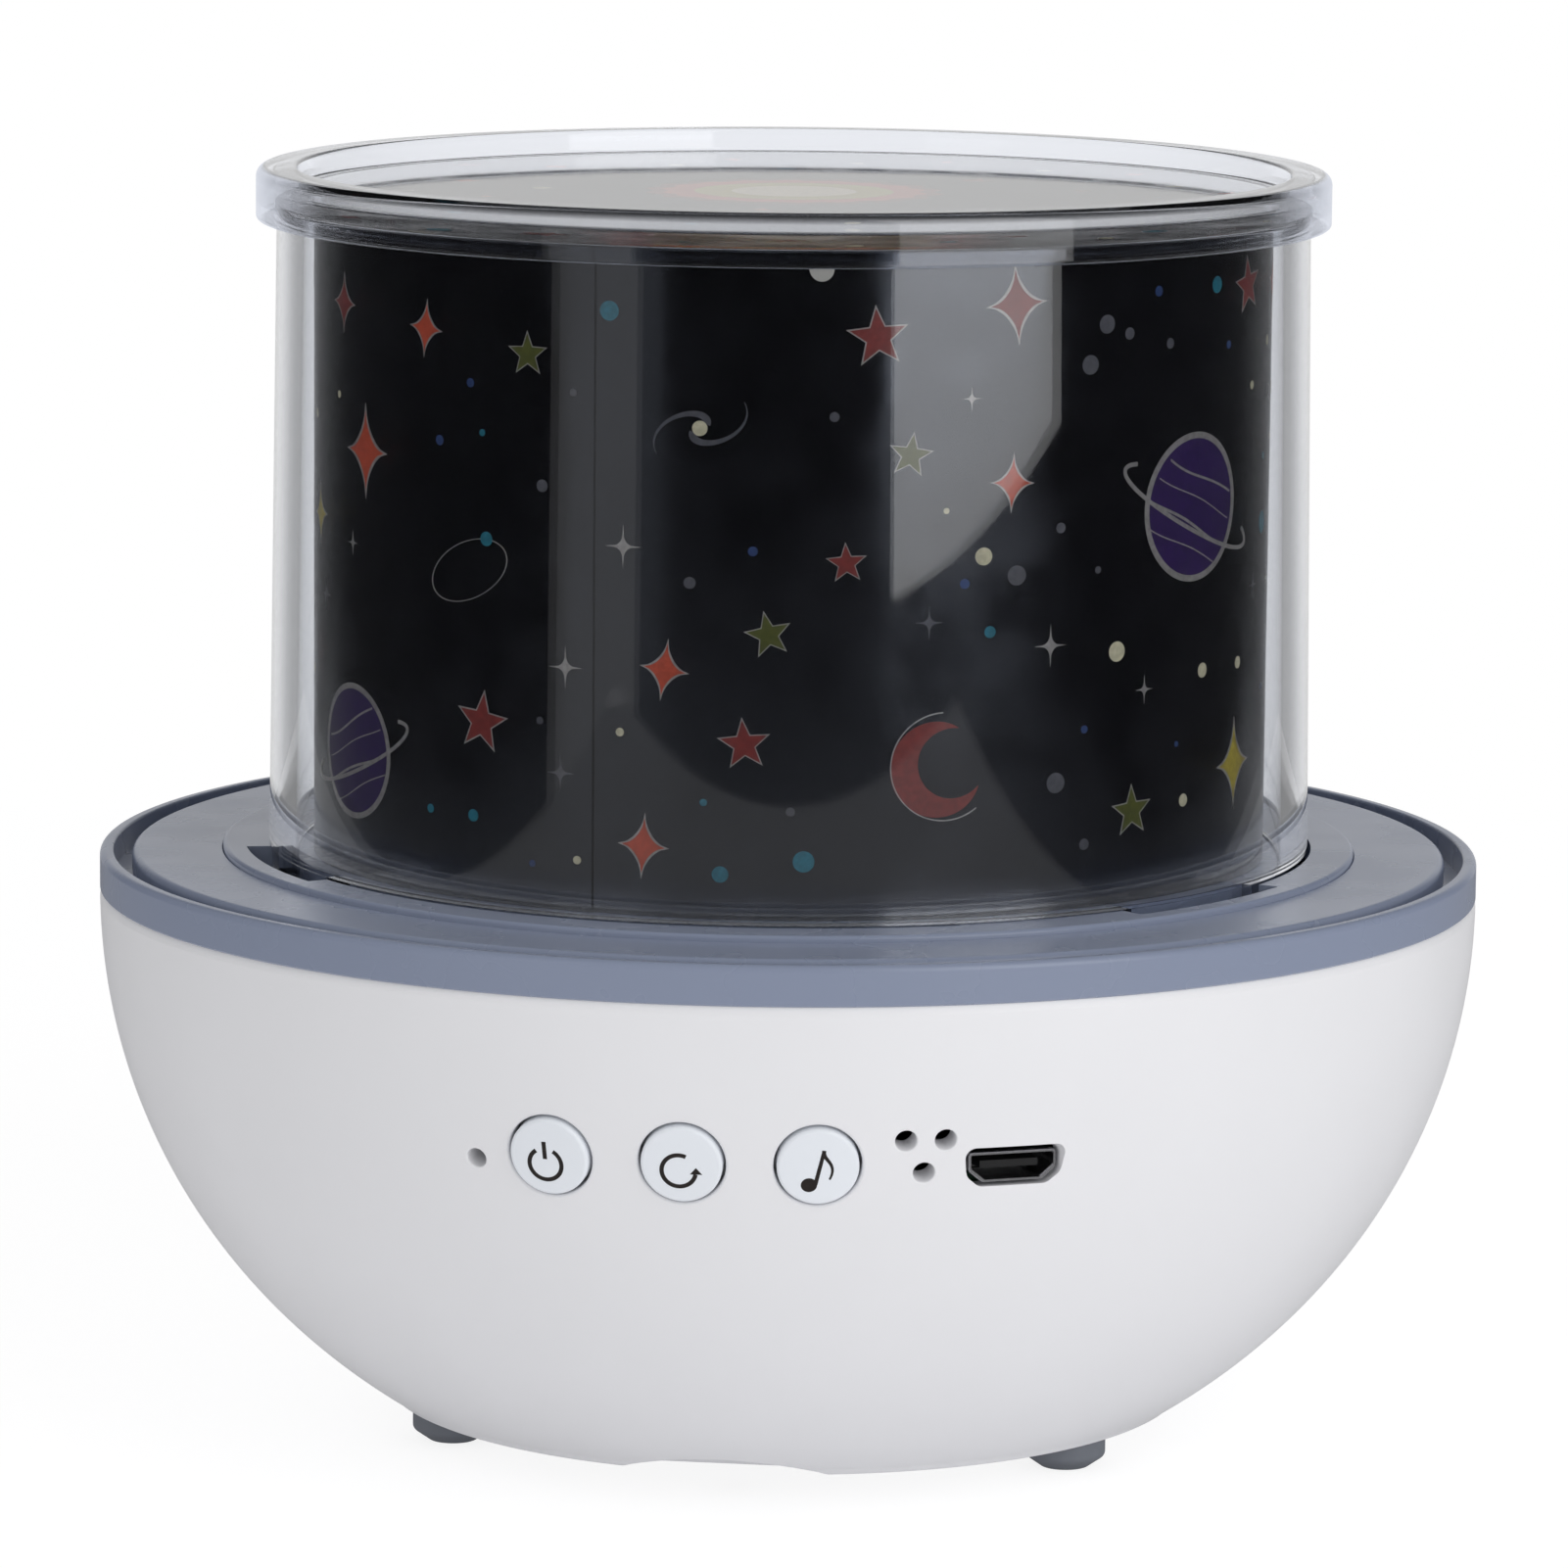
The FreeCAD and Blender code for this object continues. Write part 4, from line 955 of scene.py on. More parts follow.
    def make_feet(self) -> None:
        """Make the three rubber feet, soft-edged pads."""
        top, r = self.shape.foot_z, self.foot_r
        outline = rounded([(0, 0, 0), (self.foot_tread_r, 0, 0.5), (r, 1.06, 0.6), (r, top, 0), (0, top, 0)])
        for name, azimuth in self.feet:
            pad = turn(outline, segments=72).placed(azimuth_matrix(azimuth, y=-self.foot_place_r))
            Piece(f"{name}_pad", [pad], "base", self.shelf.get(Finish.RUBBER), "foot_rubber", (name,))

    def make_socket(self) -> None:
        """Make the folded metal shell of the charging socket: its outline set in and out round the fold."""
        frame = self.shape.frame(self.socket_azimuth, self.socket_z, 0.0)
        shell = loft(np.stack([at_depth(socket_outline(grow), y) for grow, y in self.shell_fold])).placed(frame)
        Piece("socket_shell", [shell], "base", self.shelf.get(Finish.SHAFT), "shaft_steel", ("usb_shell",))


# ---------------------------------------------------------------- turntable

@dataclass(frozen=True)
class Turntable:
    """The motor-driven disc and the raised bayonet plate on it."""

    shelf: Shelf
    disc_r: float = 57.2
    disc_z: float = 50.75
    disc_under_z: float = 48.75
    recess_r: float = 49.35
    seat_z: float = 47.3
    web_z: float = 45.3
    web_r: float = 40.8
    channel: tuple = (42.4, 48.0, 46.9)
    channel_wall_r: float = 49.6
    channel_low_z: float = 43.4
    hub_bore_r: float = 9.05
    hub_r: float = 11.5
    hub_low_z: float = 42.8
    boss_r: float = 12.3
    boss_z: float = 48.9
    hole_r: float = 13.0
    plate_r: float = 49.3
    plate_z: float = 49.3
    top_z: float = 51.3
    collar_out_r: float = 40.5
    collar_in_r: float = 39.6
    collar_top_z: float = 56.8
    pocket_azimuth: float = 58.0
    pocket_angle: float = 23.0
    slot_angle: float = 77.0
    slot_in_r: float = 42.7
    slot_out_r: float = 45.6
    pocket_out_r: float = 47.4
    screw_place_r: float = 36.0
    screw_r: float = 1.05
    screw_head_r: float = 2.05
    screw_head_h: float = 1.15

    def build(self) -> None:
        """Make the turntable's pieces."""
        self.make_disc()
        self.make_plate()

    def make_disc(self) -> None:
        """Make the disc with its hub, web and tab channel, turned from one outline."""
        channel_in_r, channel_out_r, channel_z = self.channel
        outline = rounded([
            (self.hub_bore_r, self.hub_low_z, 0.1), (self.hub_r, self.hub_low_z, 0.1), (self.hub_r, self.web_z, 0),
            (self.web_r, self.web_z, 0), (self.web_r, self.channel_low_z, 0.2),
            (self.channel_wall_r, self.channel_low_z, 0.2), (self.channel_wall_r, self.disc_under_z, 0),
            (self.disc_r, self.disc_under_z, 0.2), (self.disc_r, self.disc_z, 0.6), (self.recess_r, self.disc_z, 0.12),
            (self.recess_r, self.seat_z, 0), (channel_out_r, self.seat_z, 0), (channel_out_r, channel_z, 0),
            (channel_in_r, channel_z, 0), (channel_in_r, self.seat_z, 0), (self.boss_r, self.seat_z, 0),
            (self.boss_r, self.boss_z, 0), (self.hub_bore_r, self.boss_z, 0.1),
        ])
        Piece("turntable_plate", [turn(outline)], "turntable", self.shelf.get(Finish.SLATE), "slate_plastic",
              ("turntable_disc",))

    def make_plate(self) -> None:
        """Make the raised plate with collar, pockets, slots and screw bores."""
        outline = rounded([
            (self.hole_r, self.plate_z, 0), (self.plate_r, self.plate_z, 0), (self.plate_r, self.top_z, 0.35),
            (self.collar_out_r, self.top_z, 0.15), (self.collar_out_r, self.collar_top_z, 0.25),
            (self.collar_in_r, self.collar_top_z, 0.25), (self.collar_in_r, self.top_z, 0.15),
            (self.hole_r, self.top_z, 0.2),
        ])
        low, high, head_z = self.plate_z - 2, self.top_z + 2, self.top_z - self.screw_head_h
        bore = turn([(0, low), (self.screw_r, low), (self.screw_r, head_z), (self.screw_head_r, head_z),
                     (self.screw_head_r, high), (0, high)], segments=48)
        cuts = []
        for i in range(3):
            cuts.append(self.way_in(self.pocket_azimuth - self.pocket_angle / 2 + 120 * i, low, high))
            cuts.append(bore.placed(azimuth_matrix(120 * i, y=-self.screw_place_r)))
        mesh = carved("bayonet_ring", [turn(outline)], cuts)
        Piece("bayonet_ring", mesh, "turntable", self.shelf.get(Finish.SLATE), "slate_plastic", ("bayonet_plate",))

    def way_in(self, start: float, low: float, high: float) -> Patch:
        """Make one cutter: a wide pocket, then the narrower slot, with a square step between.

        Args:
            start: Azimuth of the pocket's first end, degrees.
            low: Height of its underside.
            high: Height of its top.

        Returns:
            A closed patch: an upright rectangle carried round, its outer radius falling at the step.
        """
        step, steps = start + self.pocket_angle, (24, 78)
        angles = np.radians(np.concatenate([
            np.linspace(start, step, steps[0]), np.linspace(step, step + self.slot_angle, steps[1])]))
        outer = np.where(np.arange(len(angles)) < steps[0], self.pocket_out_r, self.slot_out_r)
        r = np.stack([0 * outer + self.slot_in_r, outer, outer, 0 * outer + self.slot_in_r], 1)
        z = np.array([low, low, high, high]) + 0 * r
        loops = np.stack([r * np.sin(angles)[:, None], -r * np.cos(angles)[:, None], z], -1)
        return capped(loops)


# ---------------------------------------------------------------- drum

@dataclass(frozen=True)
class Drum:
    """The clear cover with its tabs, the rolled film, the lid and its film."""

    shelf: Shelf
    foot_r: float = 45.3
    head_r: float = 44.6
    wall: float = 2.3
    foot_z: float = 51.35
    top_z: float = 107.0
    tab_azimuth: float = 58.0
    tab_angle: float = 21.0
    leg_r: Span = (43.02, 45.28)
    leg_z: Span = (47.7, 52.4)
    tab_r: Span = (44.3, 47.1)
    tab_z: Span = (47.7, 49.0)
    film_r: float = 41.4
    film_t: float = 0.15
    film_top_z: float = 106.45
    lap_azimuth: float = -19.4
    lap_angle: float = 5.0
    lap_step: float = 0.22
    lap_run: float = 12.0
    lid_r: float = 46.4
    lid_top_z: float = 110.05
    lid_face_z: float = 108.05
    lid_rim_r: Span = (42.7, 42.9)
    lid_under_z: float = 107.05
    lid_touch: tuple = (42.1, 106.97)
    lid_skirt_r: float = 44.75
    lid_skirt_z: float = 105.55
    nub_azimuth: float = 11.2
    nub_r: float = 1.0
    nub_reach: Span = (-46.1, -44.8)
    disc_r: float = 41.6
    disc_z: Span = (106.75, 107.0)

    def build(self) -> None:
        """Make the drum's pieces."""
        self.make_cover()
        self.make_film()
        self.make_lid()

    def make_cover(self) -> None:
        """Make the clear tube, a little narrower at the top, with its three hooked tabs of leg and foot."""
        outline = rounded([
            (self.foot_r - self.wall, self.foot_z, 0.08), (self.foot_r, self.foot_z, 0.08),
            (self.head_r, self.top_z, 0.3), (self.head_r - self.wall, self.top_z, 0.3),
        ])
        hooks = []
        for (near, far), (low, high) in ((self.leg_r, self.leg_z), (self.tab_r, self.tab_z)):
            part = [(near, low), (far, low), (far, high), (near, high)]
            hooks += [turn(part, self.tab_azimuth - self.tab_angle / 2 + 120 * i, self.tab_angle, 42) for i in range(3)]
        mesh = carved("clear_tube", [turn(outline)], hooks, operation="UNION", crossing=True)
        Piece("clear_tube", mesh, "cover", self.shelf.get(Finish.CLEAR), "clear_plastic", ("cover_tube",))

    def inset(self, behind: np.ndarray) -> np.ndarray:
        """Give how far the sheet lies inside its outer radius: the lap's step, eased out behind the lap.

        Args:
            behind: Degrees from the sheet's outer end, onwards round the roll.

        Returns:
            Step times 1 - s^2 (3 - 2 s), s the share run through since the lap.
        """
        share = np.clip((behind - self.lap_angle) / self.lap_run, 0, 1)
        return self.lap_step * (1 - share * share * (3 - 2 * share))

    def make_film(self) -> None:
        """Make the rolled sheet, a thin upright rectangle carried once round and over the lap."""
        angles = np.radians(np.linspace(self.lap_azimuth, self.lap_azimuth + 360 + self.lap_angle, 740))
        outer = self.film_r - self.inset(np.degrees(angles) - self.lap_azimuth)[:, None]
        r = np.concatenate([outer - self.film_t, outer, outer, outer - self.film_t], 1)
        z = np.array([self.foot_z, self.foot_z, self.film_top_z, self.film_top_z])
        loops = np.stack([r * np.sin(angles)[:, None], -r * np.cos(angles)[:, None], z + 0 * r], -1)
        Piece("rolled_film", [capped(loops)], "film", self.shelf.get(Finish.FILM), "printed_film", ("film_sleeve",))

    def make_lid(self) -> None:
        """Make the clear lid with its raised rim, skirt and nub, and the film disc that it touches."""
        (touch_r, touch_z), (floor_r, brim_r) = self.lid_touch, self.lid_rim_r
        outline = rounded([
            (0, touch_z, 0), (touch_r, touch_z, 0), (touch_r, self.lid_under_z, 0),
            (self.lid_skirt_r, self.lid_under_z, 0.1), (self.lid_skirt_r, self.lid_skirt_z, 0.15),
            (self.lid_r, self.lid_skirt_z, 0.3), (self.lid_r, self.lid_top_z, 0.9), (brim_r, self.lid_top_z, 0.35),
            (floor_r, self.lid_face_z, 0.4), (0, self.lid_face_z, 0),
        ])
        Piece("clear_lid", [turn(outline)], "lid", self.shelf.get(Finish.CLEAR_LID), "clear_plastic", ("lid",))
        half = np.concatenate([arc(self.nub_r, 180, 360, 25), [(self.nub_r, 0.02), (-self.nub_r, 0.02)]])
        nub = pushed(half, *self.nub_reach).placed(azimuth_matrix(self.nub_azimuth, z=self.lid_skirt_z))
        Piece("gate_nub", [nub], "lid", self.shelf.get(Finish.FROSTED), "clear_plastic", weighted=False)
        low, high = self.disc_z
        disc = rounded([(0, low, 0), (self.disc_r, low, 0.05), (self.disc_r, high, 0.05), (0, high, 0)], 3)
        Piece("film_disc", [turn(disc)], "lid", self.shelf.get(Finish.FILM), "printed_film", ("top_film",))


# ---------------------------------------------------------------- prints

def plate(outline: np.ndarray, low: float, high: float, rings: int = 4) -> Patch:
    """Make a thin plate of a shape seen from its middle.

    Args:
        outline: Points (n, 2) of the edge, about the origin.
        low: Height of the underside.
        high: Height of the printed side.
        rings: Steps from the middle to the edge, so that the plate can bend.

    Returns:
        A closed patch of (across, up, height): share s of the edge point at each ring, s from 0 to 1 and back.
    """
    share = np.linspace(0, 1, rings + 1)
    loops = [np.stack([s * outline[:, 0], s * outline[:, 1], 0 * outline[:, 0] + h], -1)
             for s, h in [*((s, low) for s in share), *((s, high) for s in share[::-1])]]
    return loft(np.stack(loops), ring=False)


def band(inner: np.ndarray, outer: np.ndarray, low: float, high: float) -> Patch:
    """Make a thin closed band between two outlines with as many points."""
    rings = ((inner, low), (outer, low), (outer, high), (inner, high))
    return loft(np.stack([np.column_stack([o, 0 * o[:, 0] + h]) for o, h in rings]))


def ribbon(path: np.ndarray, width: float | Sequence, low: float, high: float) -> Patch:
    """Make a thin strip along a path.

    Args:
        path: Points (n, 2).
        width: Its width, one number or one for each point.
        low: Height of the underside.
        high: Height of the printed side.

    Returns:
        A closed patch; its sides lie half the width from the path, square to its direction.
    """
    ahead = np.gradient(path, axis=0)
    ahead /= np.hypot(*ahead.T)[:, None]
    side = np.stack([-ahead[:, 1], ahead[:, 0]], -1) * np.reshape(width, (-1, 1)) / 2
    corners = ((path - side, low), (path + side, low), (path + side, high), (path - side, high))
    return capped(np.stack([np.column_stack([o, 0 * o[:, 0] + h]) for o, h in corners], 1))


def arc(
        radius: float, start: float, end: float, count: int = 48, middle: Span = (0.0, 0.0), squeeze: float = 1.0,
) -> np.ndarray:
    """Give points round an arc; angles in degrees from the x axis, the second radius squeezed."""
    t = np.radians(np.linspace(start, end, count))
    return np.stack([middle[0] + radius * np.cos(t), middle[1] + radius * squeeze * np.sin(t)], -1)


def ring_points(radius: float = 1.0, squeeze: float = 1.0, count: int = 48) -> np.ndarray:
    """Give a closed ring of points, an ellipse."""
    return arc(radius, 0, 360 - 360 / count, count, squeeze=squeeze)


def star(points: int, inner: float, steps: int = 6) -> np.ndarray:
    """Give the outline of a straight-sided star with outer radius 1, each side in even steps.

    Args:
        points: Number of points.
        inner: Radius of the notches.
        steps: Steps along each side.

    Returns:
        Points (n, 2).
    """
    angles = np.pi / 2 + np.pi * np.arange(2 * points) / points
    radius = np.where(np.arange(2 * points) % 2, inner, 1.0)
    corners = np.stack([radius * np.cos(angles), radius * np.sin(angles)], -1)
    share = np.linspace(0, 1, steps, endpoint=False)[None, :, None]
    return (corners[:, None] * (1 - share) + np.roll(corners, -1, 0)[:, None] * share).reshape(-1, 2)


def spiked(power: float, squeeze: float = 0.8, count: int = 64) -> np.ndarray:
    """Give a four-pointed star with hollow sides: |x|^p + |y|^p = 1, narrowed sideways.

    Args:
        power: The power p, below 1 for hollow sides.
        squeeze: Factor on the width.
        count: Number of points.

    Returns:
        Points (n, 2).
    """
    t = np.linspace(0, 2 * np.pi, count, endpoint=False)
    radius = (np.abs(np.cos(t)) ** power + np.abs(np.sin(t)) ** power) ** (-1 / power)
    return np.stack([squeeze * radius * np.cos(t), radius * np.sin(t)], -1)


# ---------------------------------------------------------------- buttons

@dataclass(frozen=True)
class Buttons:
    """The three push buttons with their printed marks."""

    shelf: Shelf
    base: Base
    cap_r: float = 3.35
    face_y: float = -0.25
    flange_r: float = 4.35
    flange_y: Span = (2.8, 3.6)
    stem_r: float = 1.3
    stem_y: float = 5.0
    low: float = 0.2
    high: float = 0.262
    line: float = 0.36

    def build(self) -> None:
        """Make the buttons, each turned about its own axis."""
        near, far = self.flange_y
        outline = rounded([
            (0, self.face_y, 0), (self.cap_r, self.face_y, 0.3), (self.cap_r, near, 0), (self.flange_r, near, 0.1),
            (self.flange_r, far, 0.1), (self.stem_r, far, 0), (self.stem_r, self.stem_y, 0), (0, self.stem_y, 0),
        ])
        marks = {"power": self.power_mark(), "rotate": self.rotate_mark(), "music": self.music_mark()}
        for (name, mark), azimuth in zip(marks.items(), self.base.button_azimuths):
            frame = self.base.shape.frame(azimuth, self.base.button_z)
            cap = along_y(outline, 120).placed(frame)
            body = f"{name}_key"
            Piece(f"{name}_cap", [cap], body, self.shelf.get(Finish.BUTTON), "button_white", (f"{name}_button",))
            printed = [self.on_face(patch).placed(frame) for patch in mark]
            Piece(f"{name}_mark", printed, body, self.shelf.get(Finish.PRINT_BLACK), "button_white")

    @staticmethod
    def on_face(patch: Patch) -> Patch:
        """Lay a flat print (across, up, height) on a face that looks along -y."""
        across, up, height = patch.points.T
        return Patch(np.stack([across, -height, up], -1), patch.faces)

    def power_mark(self, x: float = -0.3, z: float = -0.6) -> list[Patch]:
        """A ring open at the top with a bar in the gap.

        Args:
            x: Place across.
            z: Place up.

        Returns:
            Its patches.
        """
        ring = arc(1.38, 122, 418, 72, (x, z))
        bar = np.linspace((x, z + 0.45), (x, z + 2.0), 6)
        return [ribbon(path, self.line, self.low, self.high) for path in (ring, bar)]

    def rotate_mark(self, x: float = -0.2, z: float = -0.5) -> list[Patch]:
        """A circle open at the upper right with an arrowhead that points up.

        Args:
            x: Place across.
            z: Place up.

        Returns:
            Its patches.
        """
        ring = arc(1.4, 64, 348, 72, (x, z))
        head = np.array([(x + 1.42, z - 0.28), (x + 1.42, z + 0.28)])
        return [ribbon(ring, self.line, self.low, self.high), ribbon(head, [1.0, 0.06], self.low, self.high + 0.004)]

    def music_mark(self, x: float = -0.1, z: float = -0.35) -> list[Patch]:
        """A quaver: round head, slanted stem and a flag along a fourth-power curve through its knots.

        Args:
            x: Place across.
            z: Place up.

        Returns:
            Its patches.
        """
        head = plate(ring_points(0.66, 0.94), self.low, self.high, 2)
        head = Patch(head.points + (x - 0.62, z - 1.2, 0), head.faces)
        stem = np.linspace((x - 0.1, z - 1.15), (x + 0.56, z + 1.85), 8)
        knots = np.array([(0.56, 1.9), (0.68, 1.3), (1.0, 0.85), (1.24, 0.35), (1.22, -0.2), (1.04, -0.7)])
        t = np.linspace(0, len(knots) - 1, 30)
        fit = [np.polyfit(np.arange(len(knots)), knots[:, i], 4) for i in (0, 1)]
        flag = np.stack([np.polyval(f, t) for f in fit], -1) + (x, z)
        return [head, ribbon(stem, np.linspace(0.34, 0.3, 8), self.low, self.high + 0.003),
                ribbon(flag, np.linspace(0.34, 0.16, 30), self.low, self.high + 0.006)]


# ---------------------------------------------------------------- artwork on the film

class Tint(Enum):
    """Print colours of the film."""

    ORANGE = Ink("print_orange", srgb(186, 74, 48))
    GOLD = Ink("print_gold", srgb(176, 158, 44))
    RED = Ink("print_red", srgb(128, 46, 42))
    OLIVE = Ink("print_olive", srgb(84, 88, 34))
    TEAL = Ink("print_teal", srgb(30, 112, 130))
    BLUE = Ink("print_blue", srgb(44, 66, 112))
    CREAM = Ink("print_cream", srgb(196, 190, 160))
    GREY = Ink("print_grey", srgb(84, 84, 90))
    VIOLET = Ink("print_violet", srgb(50, 30, 84))
    PALE = Ink("print_outline", srgb(176, 172, 168), metallic=0.5, roughness=0.28)
    GLOW = Ink("print_glow", srgb(214, 200, 168))


@dataclass(frozen=True)
class Sheet:
    """Where prints go on the rolled film: its middle height and its reach."""

    drum: Drum

    def skin_r(self, degrees: np.ndarray) -> np.ndarray:
        """Give the outer radius of the rolled sheet, with the step behind the lap.

        Args:
            degrees: Azimuths.

        Returns:
            A radius for each; over the lap it is the outer end's.
        """
        behind = (degrees - self.drum.lap_azimuth) % 360
        return self.drum.film_r - np.where(behind < self.drum.lap_angle, 0.0, self.drum.inset(behind))

    @staticmethod
    def spun(patch: Patch, turned: float) -> tuple:
        """Turn a flat print in its plane.

        Args:
            patch: The print, as (across, up, height).
            turned: Angle in degrees.

        Returns:
            Across, up and height of its points.
        """
        t = math.radians(turned)
        across, up, height = patch.points.T
        return across * math.cos(t) - up * math.sin(t), across * math.sin(t) + up * math.cos(t), height

    def wrap(self, patch: Patch, azimuth: float, z: float, turned: float) -> Patch:
        """Bend a flat print round the drum: azimuth grows by across / r, the radius by height.

        Args:
            patch: The print.
            azimuth: Azimuth of its middle, degrees.
            z: Height of its middle.
            turned: Its turn in its own plane, degrees.

        Returns:
            The print on the film.
        """
        u, v, height = self.spun(patch, turned)
        degrees = azimuth + np.degrees(u / self.drum.film_r)
        r, a = self.skin_r(degrees) + height, np.radians(degrees)
        return Patch(np.stack([r * np.sin(a), -r * np.cos(a), z + v], -1), patch.faces)

    def flat(self, patch: Patch, x: float, y: float, turned: float) -> Patch:
        """Lay a flat print on the top film, its height much reduced.

        Args:
            patch: The print.
            x: Place of its middle.
            y: Place of its middle.
            turned: Its turn in its own plane, degrees.

        Returns:
            The print on the top film.
        """
        u, v, height = self.spun(patch, turned)
        return Patch(np.stack([x + u, y + v, self.drum.disc_z[1] + height * 0.4], -1), patch.faces)


def sized(outline: np.ndarray, size: float) -> np.ndarray:
    """Scale an outline of radius 1 to a full size."""
    return outline * size / 2


def bordered(outline: np.ndarray, size: float, tint: Tint, border: float = 0.16) -> list[tuple[Tint, Patch]]:
    """A tinted figure with a thin pale outline round it."""
    inner, outer = sized(outline, size), sized(outline, size * (1 + border))
    return [(tint, plate(inner, BED, INK)), (Tint.PALE, band(sized(outline, size * 0.96), outer, BED, OVER))]


def ringed_planet(size: float, tint: Tint) -> list[tuple[Tint, Patch]]:
    """A round body with bands and a tilted ring.

    Args:
        size: Its full size.
        tint: Its main ink.

    Returns:
        Pairs of ink and patch.
    """
    parts = bordered(ring_points(count=72), size, tint, 0.05)
    for height, width, wave in ((0.5, 0.035, 0.3), (0.18, 0.02, 1.2), (-0.2, 0.04, 2.0), (-0.52, 0.02, 0.9)):
        reach = math.sqrt(1 - height ** 2) * 0.9
        x = np.linspace(-reach, reach, 40)
        path = np.stack([x, height + 0.05 * np.sin(3 * x + wave) - 0.08 * (1 - x * x)], -1) * size / 2
        parts.append((Tint.PALE, ribbon(path, width * size * 0.5, BED, OVER + 0.002)))
    turned = arc(0.78 * size, 152, 388, 90, squeeze=0.2)
    parts.append((Tint.PALE, ribbon(turned, 0.03 * size, BED, OVER + 0.006)))
    return parts


def crescent(size: float, tint: Tint) -> list[tuple[Tint, Patch]]:
    """A thin moon: a strip on an arc, widest in its middle.

    Args:
        size: Its full size.
        tint: Its main ink.

    Returns:
        Pairs of ink and patch.
    """
    path = arc(size * 0.4, 40, 300, 60)
    width = 0.28 * size * np.sin(np.linspace(0.02, math.pi - 0.02, 60))
    edge = arc(size * 0.53, 62, 278, 60)
    return [(tint, ribbon(path, width, BED, INK)), (Tint.PALE, ribbon(edge, 0.1, BED, OVER))]


def whirl(size: float, tint: Tint) -> list[tuple[Tint, Patch]]:
    """A small galaxy: two curved arms round a core.

    Args:
        size: Its full size.
        tint: Its main ink.

    Returns:
        Pairs of ink and patch.
    """
    t = np.linspace(0.15, 1, 50)
    parts = [(Tint.CREAM, plate(ring_points(size * 0.07), BED, OVER, 1))]
    for start in (0, math.pi):
        path = np.stack([t * np.cos(start + 3.6 * t), 0.62 * t * np.sin(start + 3.6 * t)], -1) * size / 2
        parts.append((tint, ribbon(path, size * 0.09 * (1.05 - t), BED, INK + 0.002)))
    return parts


def orbit(size: float, tint: Tint) -> list[tuple[Tint, Patch]]:
    """A thin ellipse with a small body on it.

    Args:
        size: Its full size.
        tint: Its main ink.

    Returns:
        Pairs of ink and patch.
    """
    path = ring_points(size / 2, 0.55, 90)
    spot = plate(ring_points(size * 0.07), BED, OVER + 0.004, 1)
    spot = Patch(spot.points + (*path[12], 0), spot.faces)
    return [(Tint.PALE, band(path * 0.975, path, BED, INK + 0.002)), (tint, spot)]


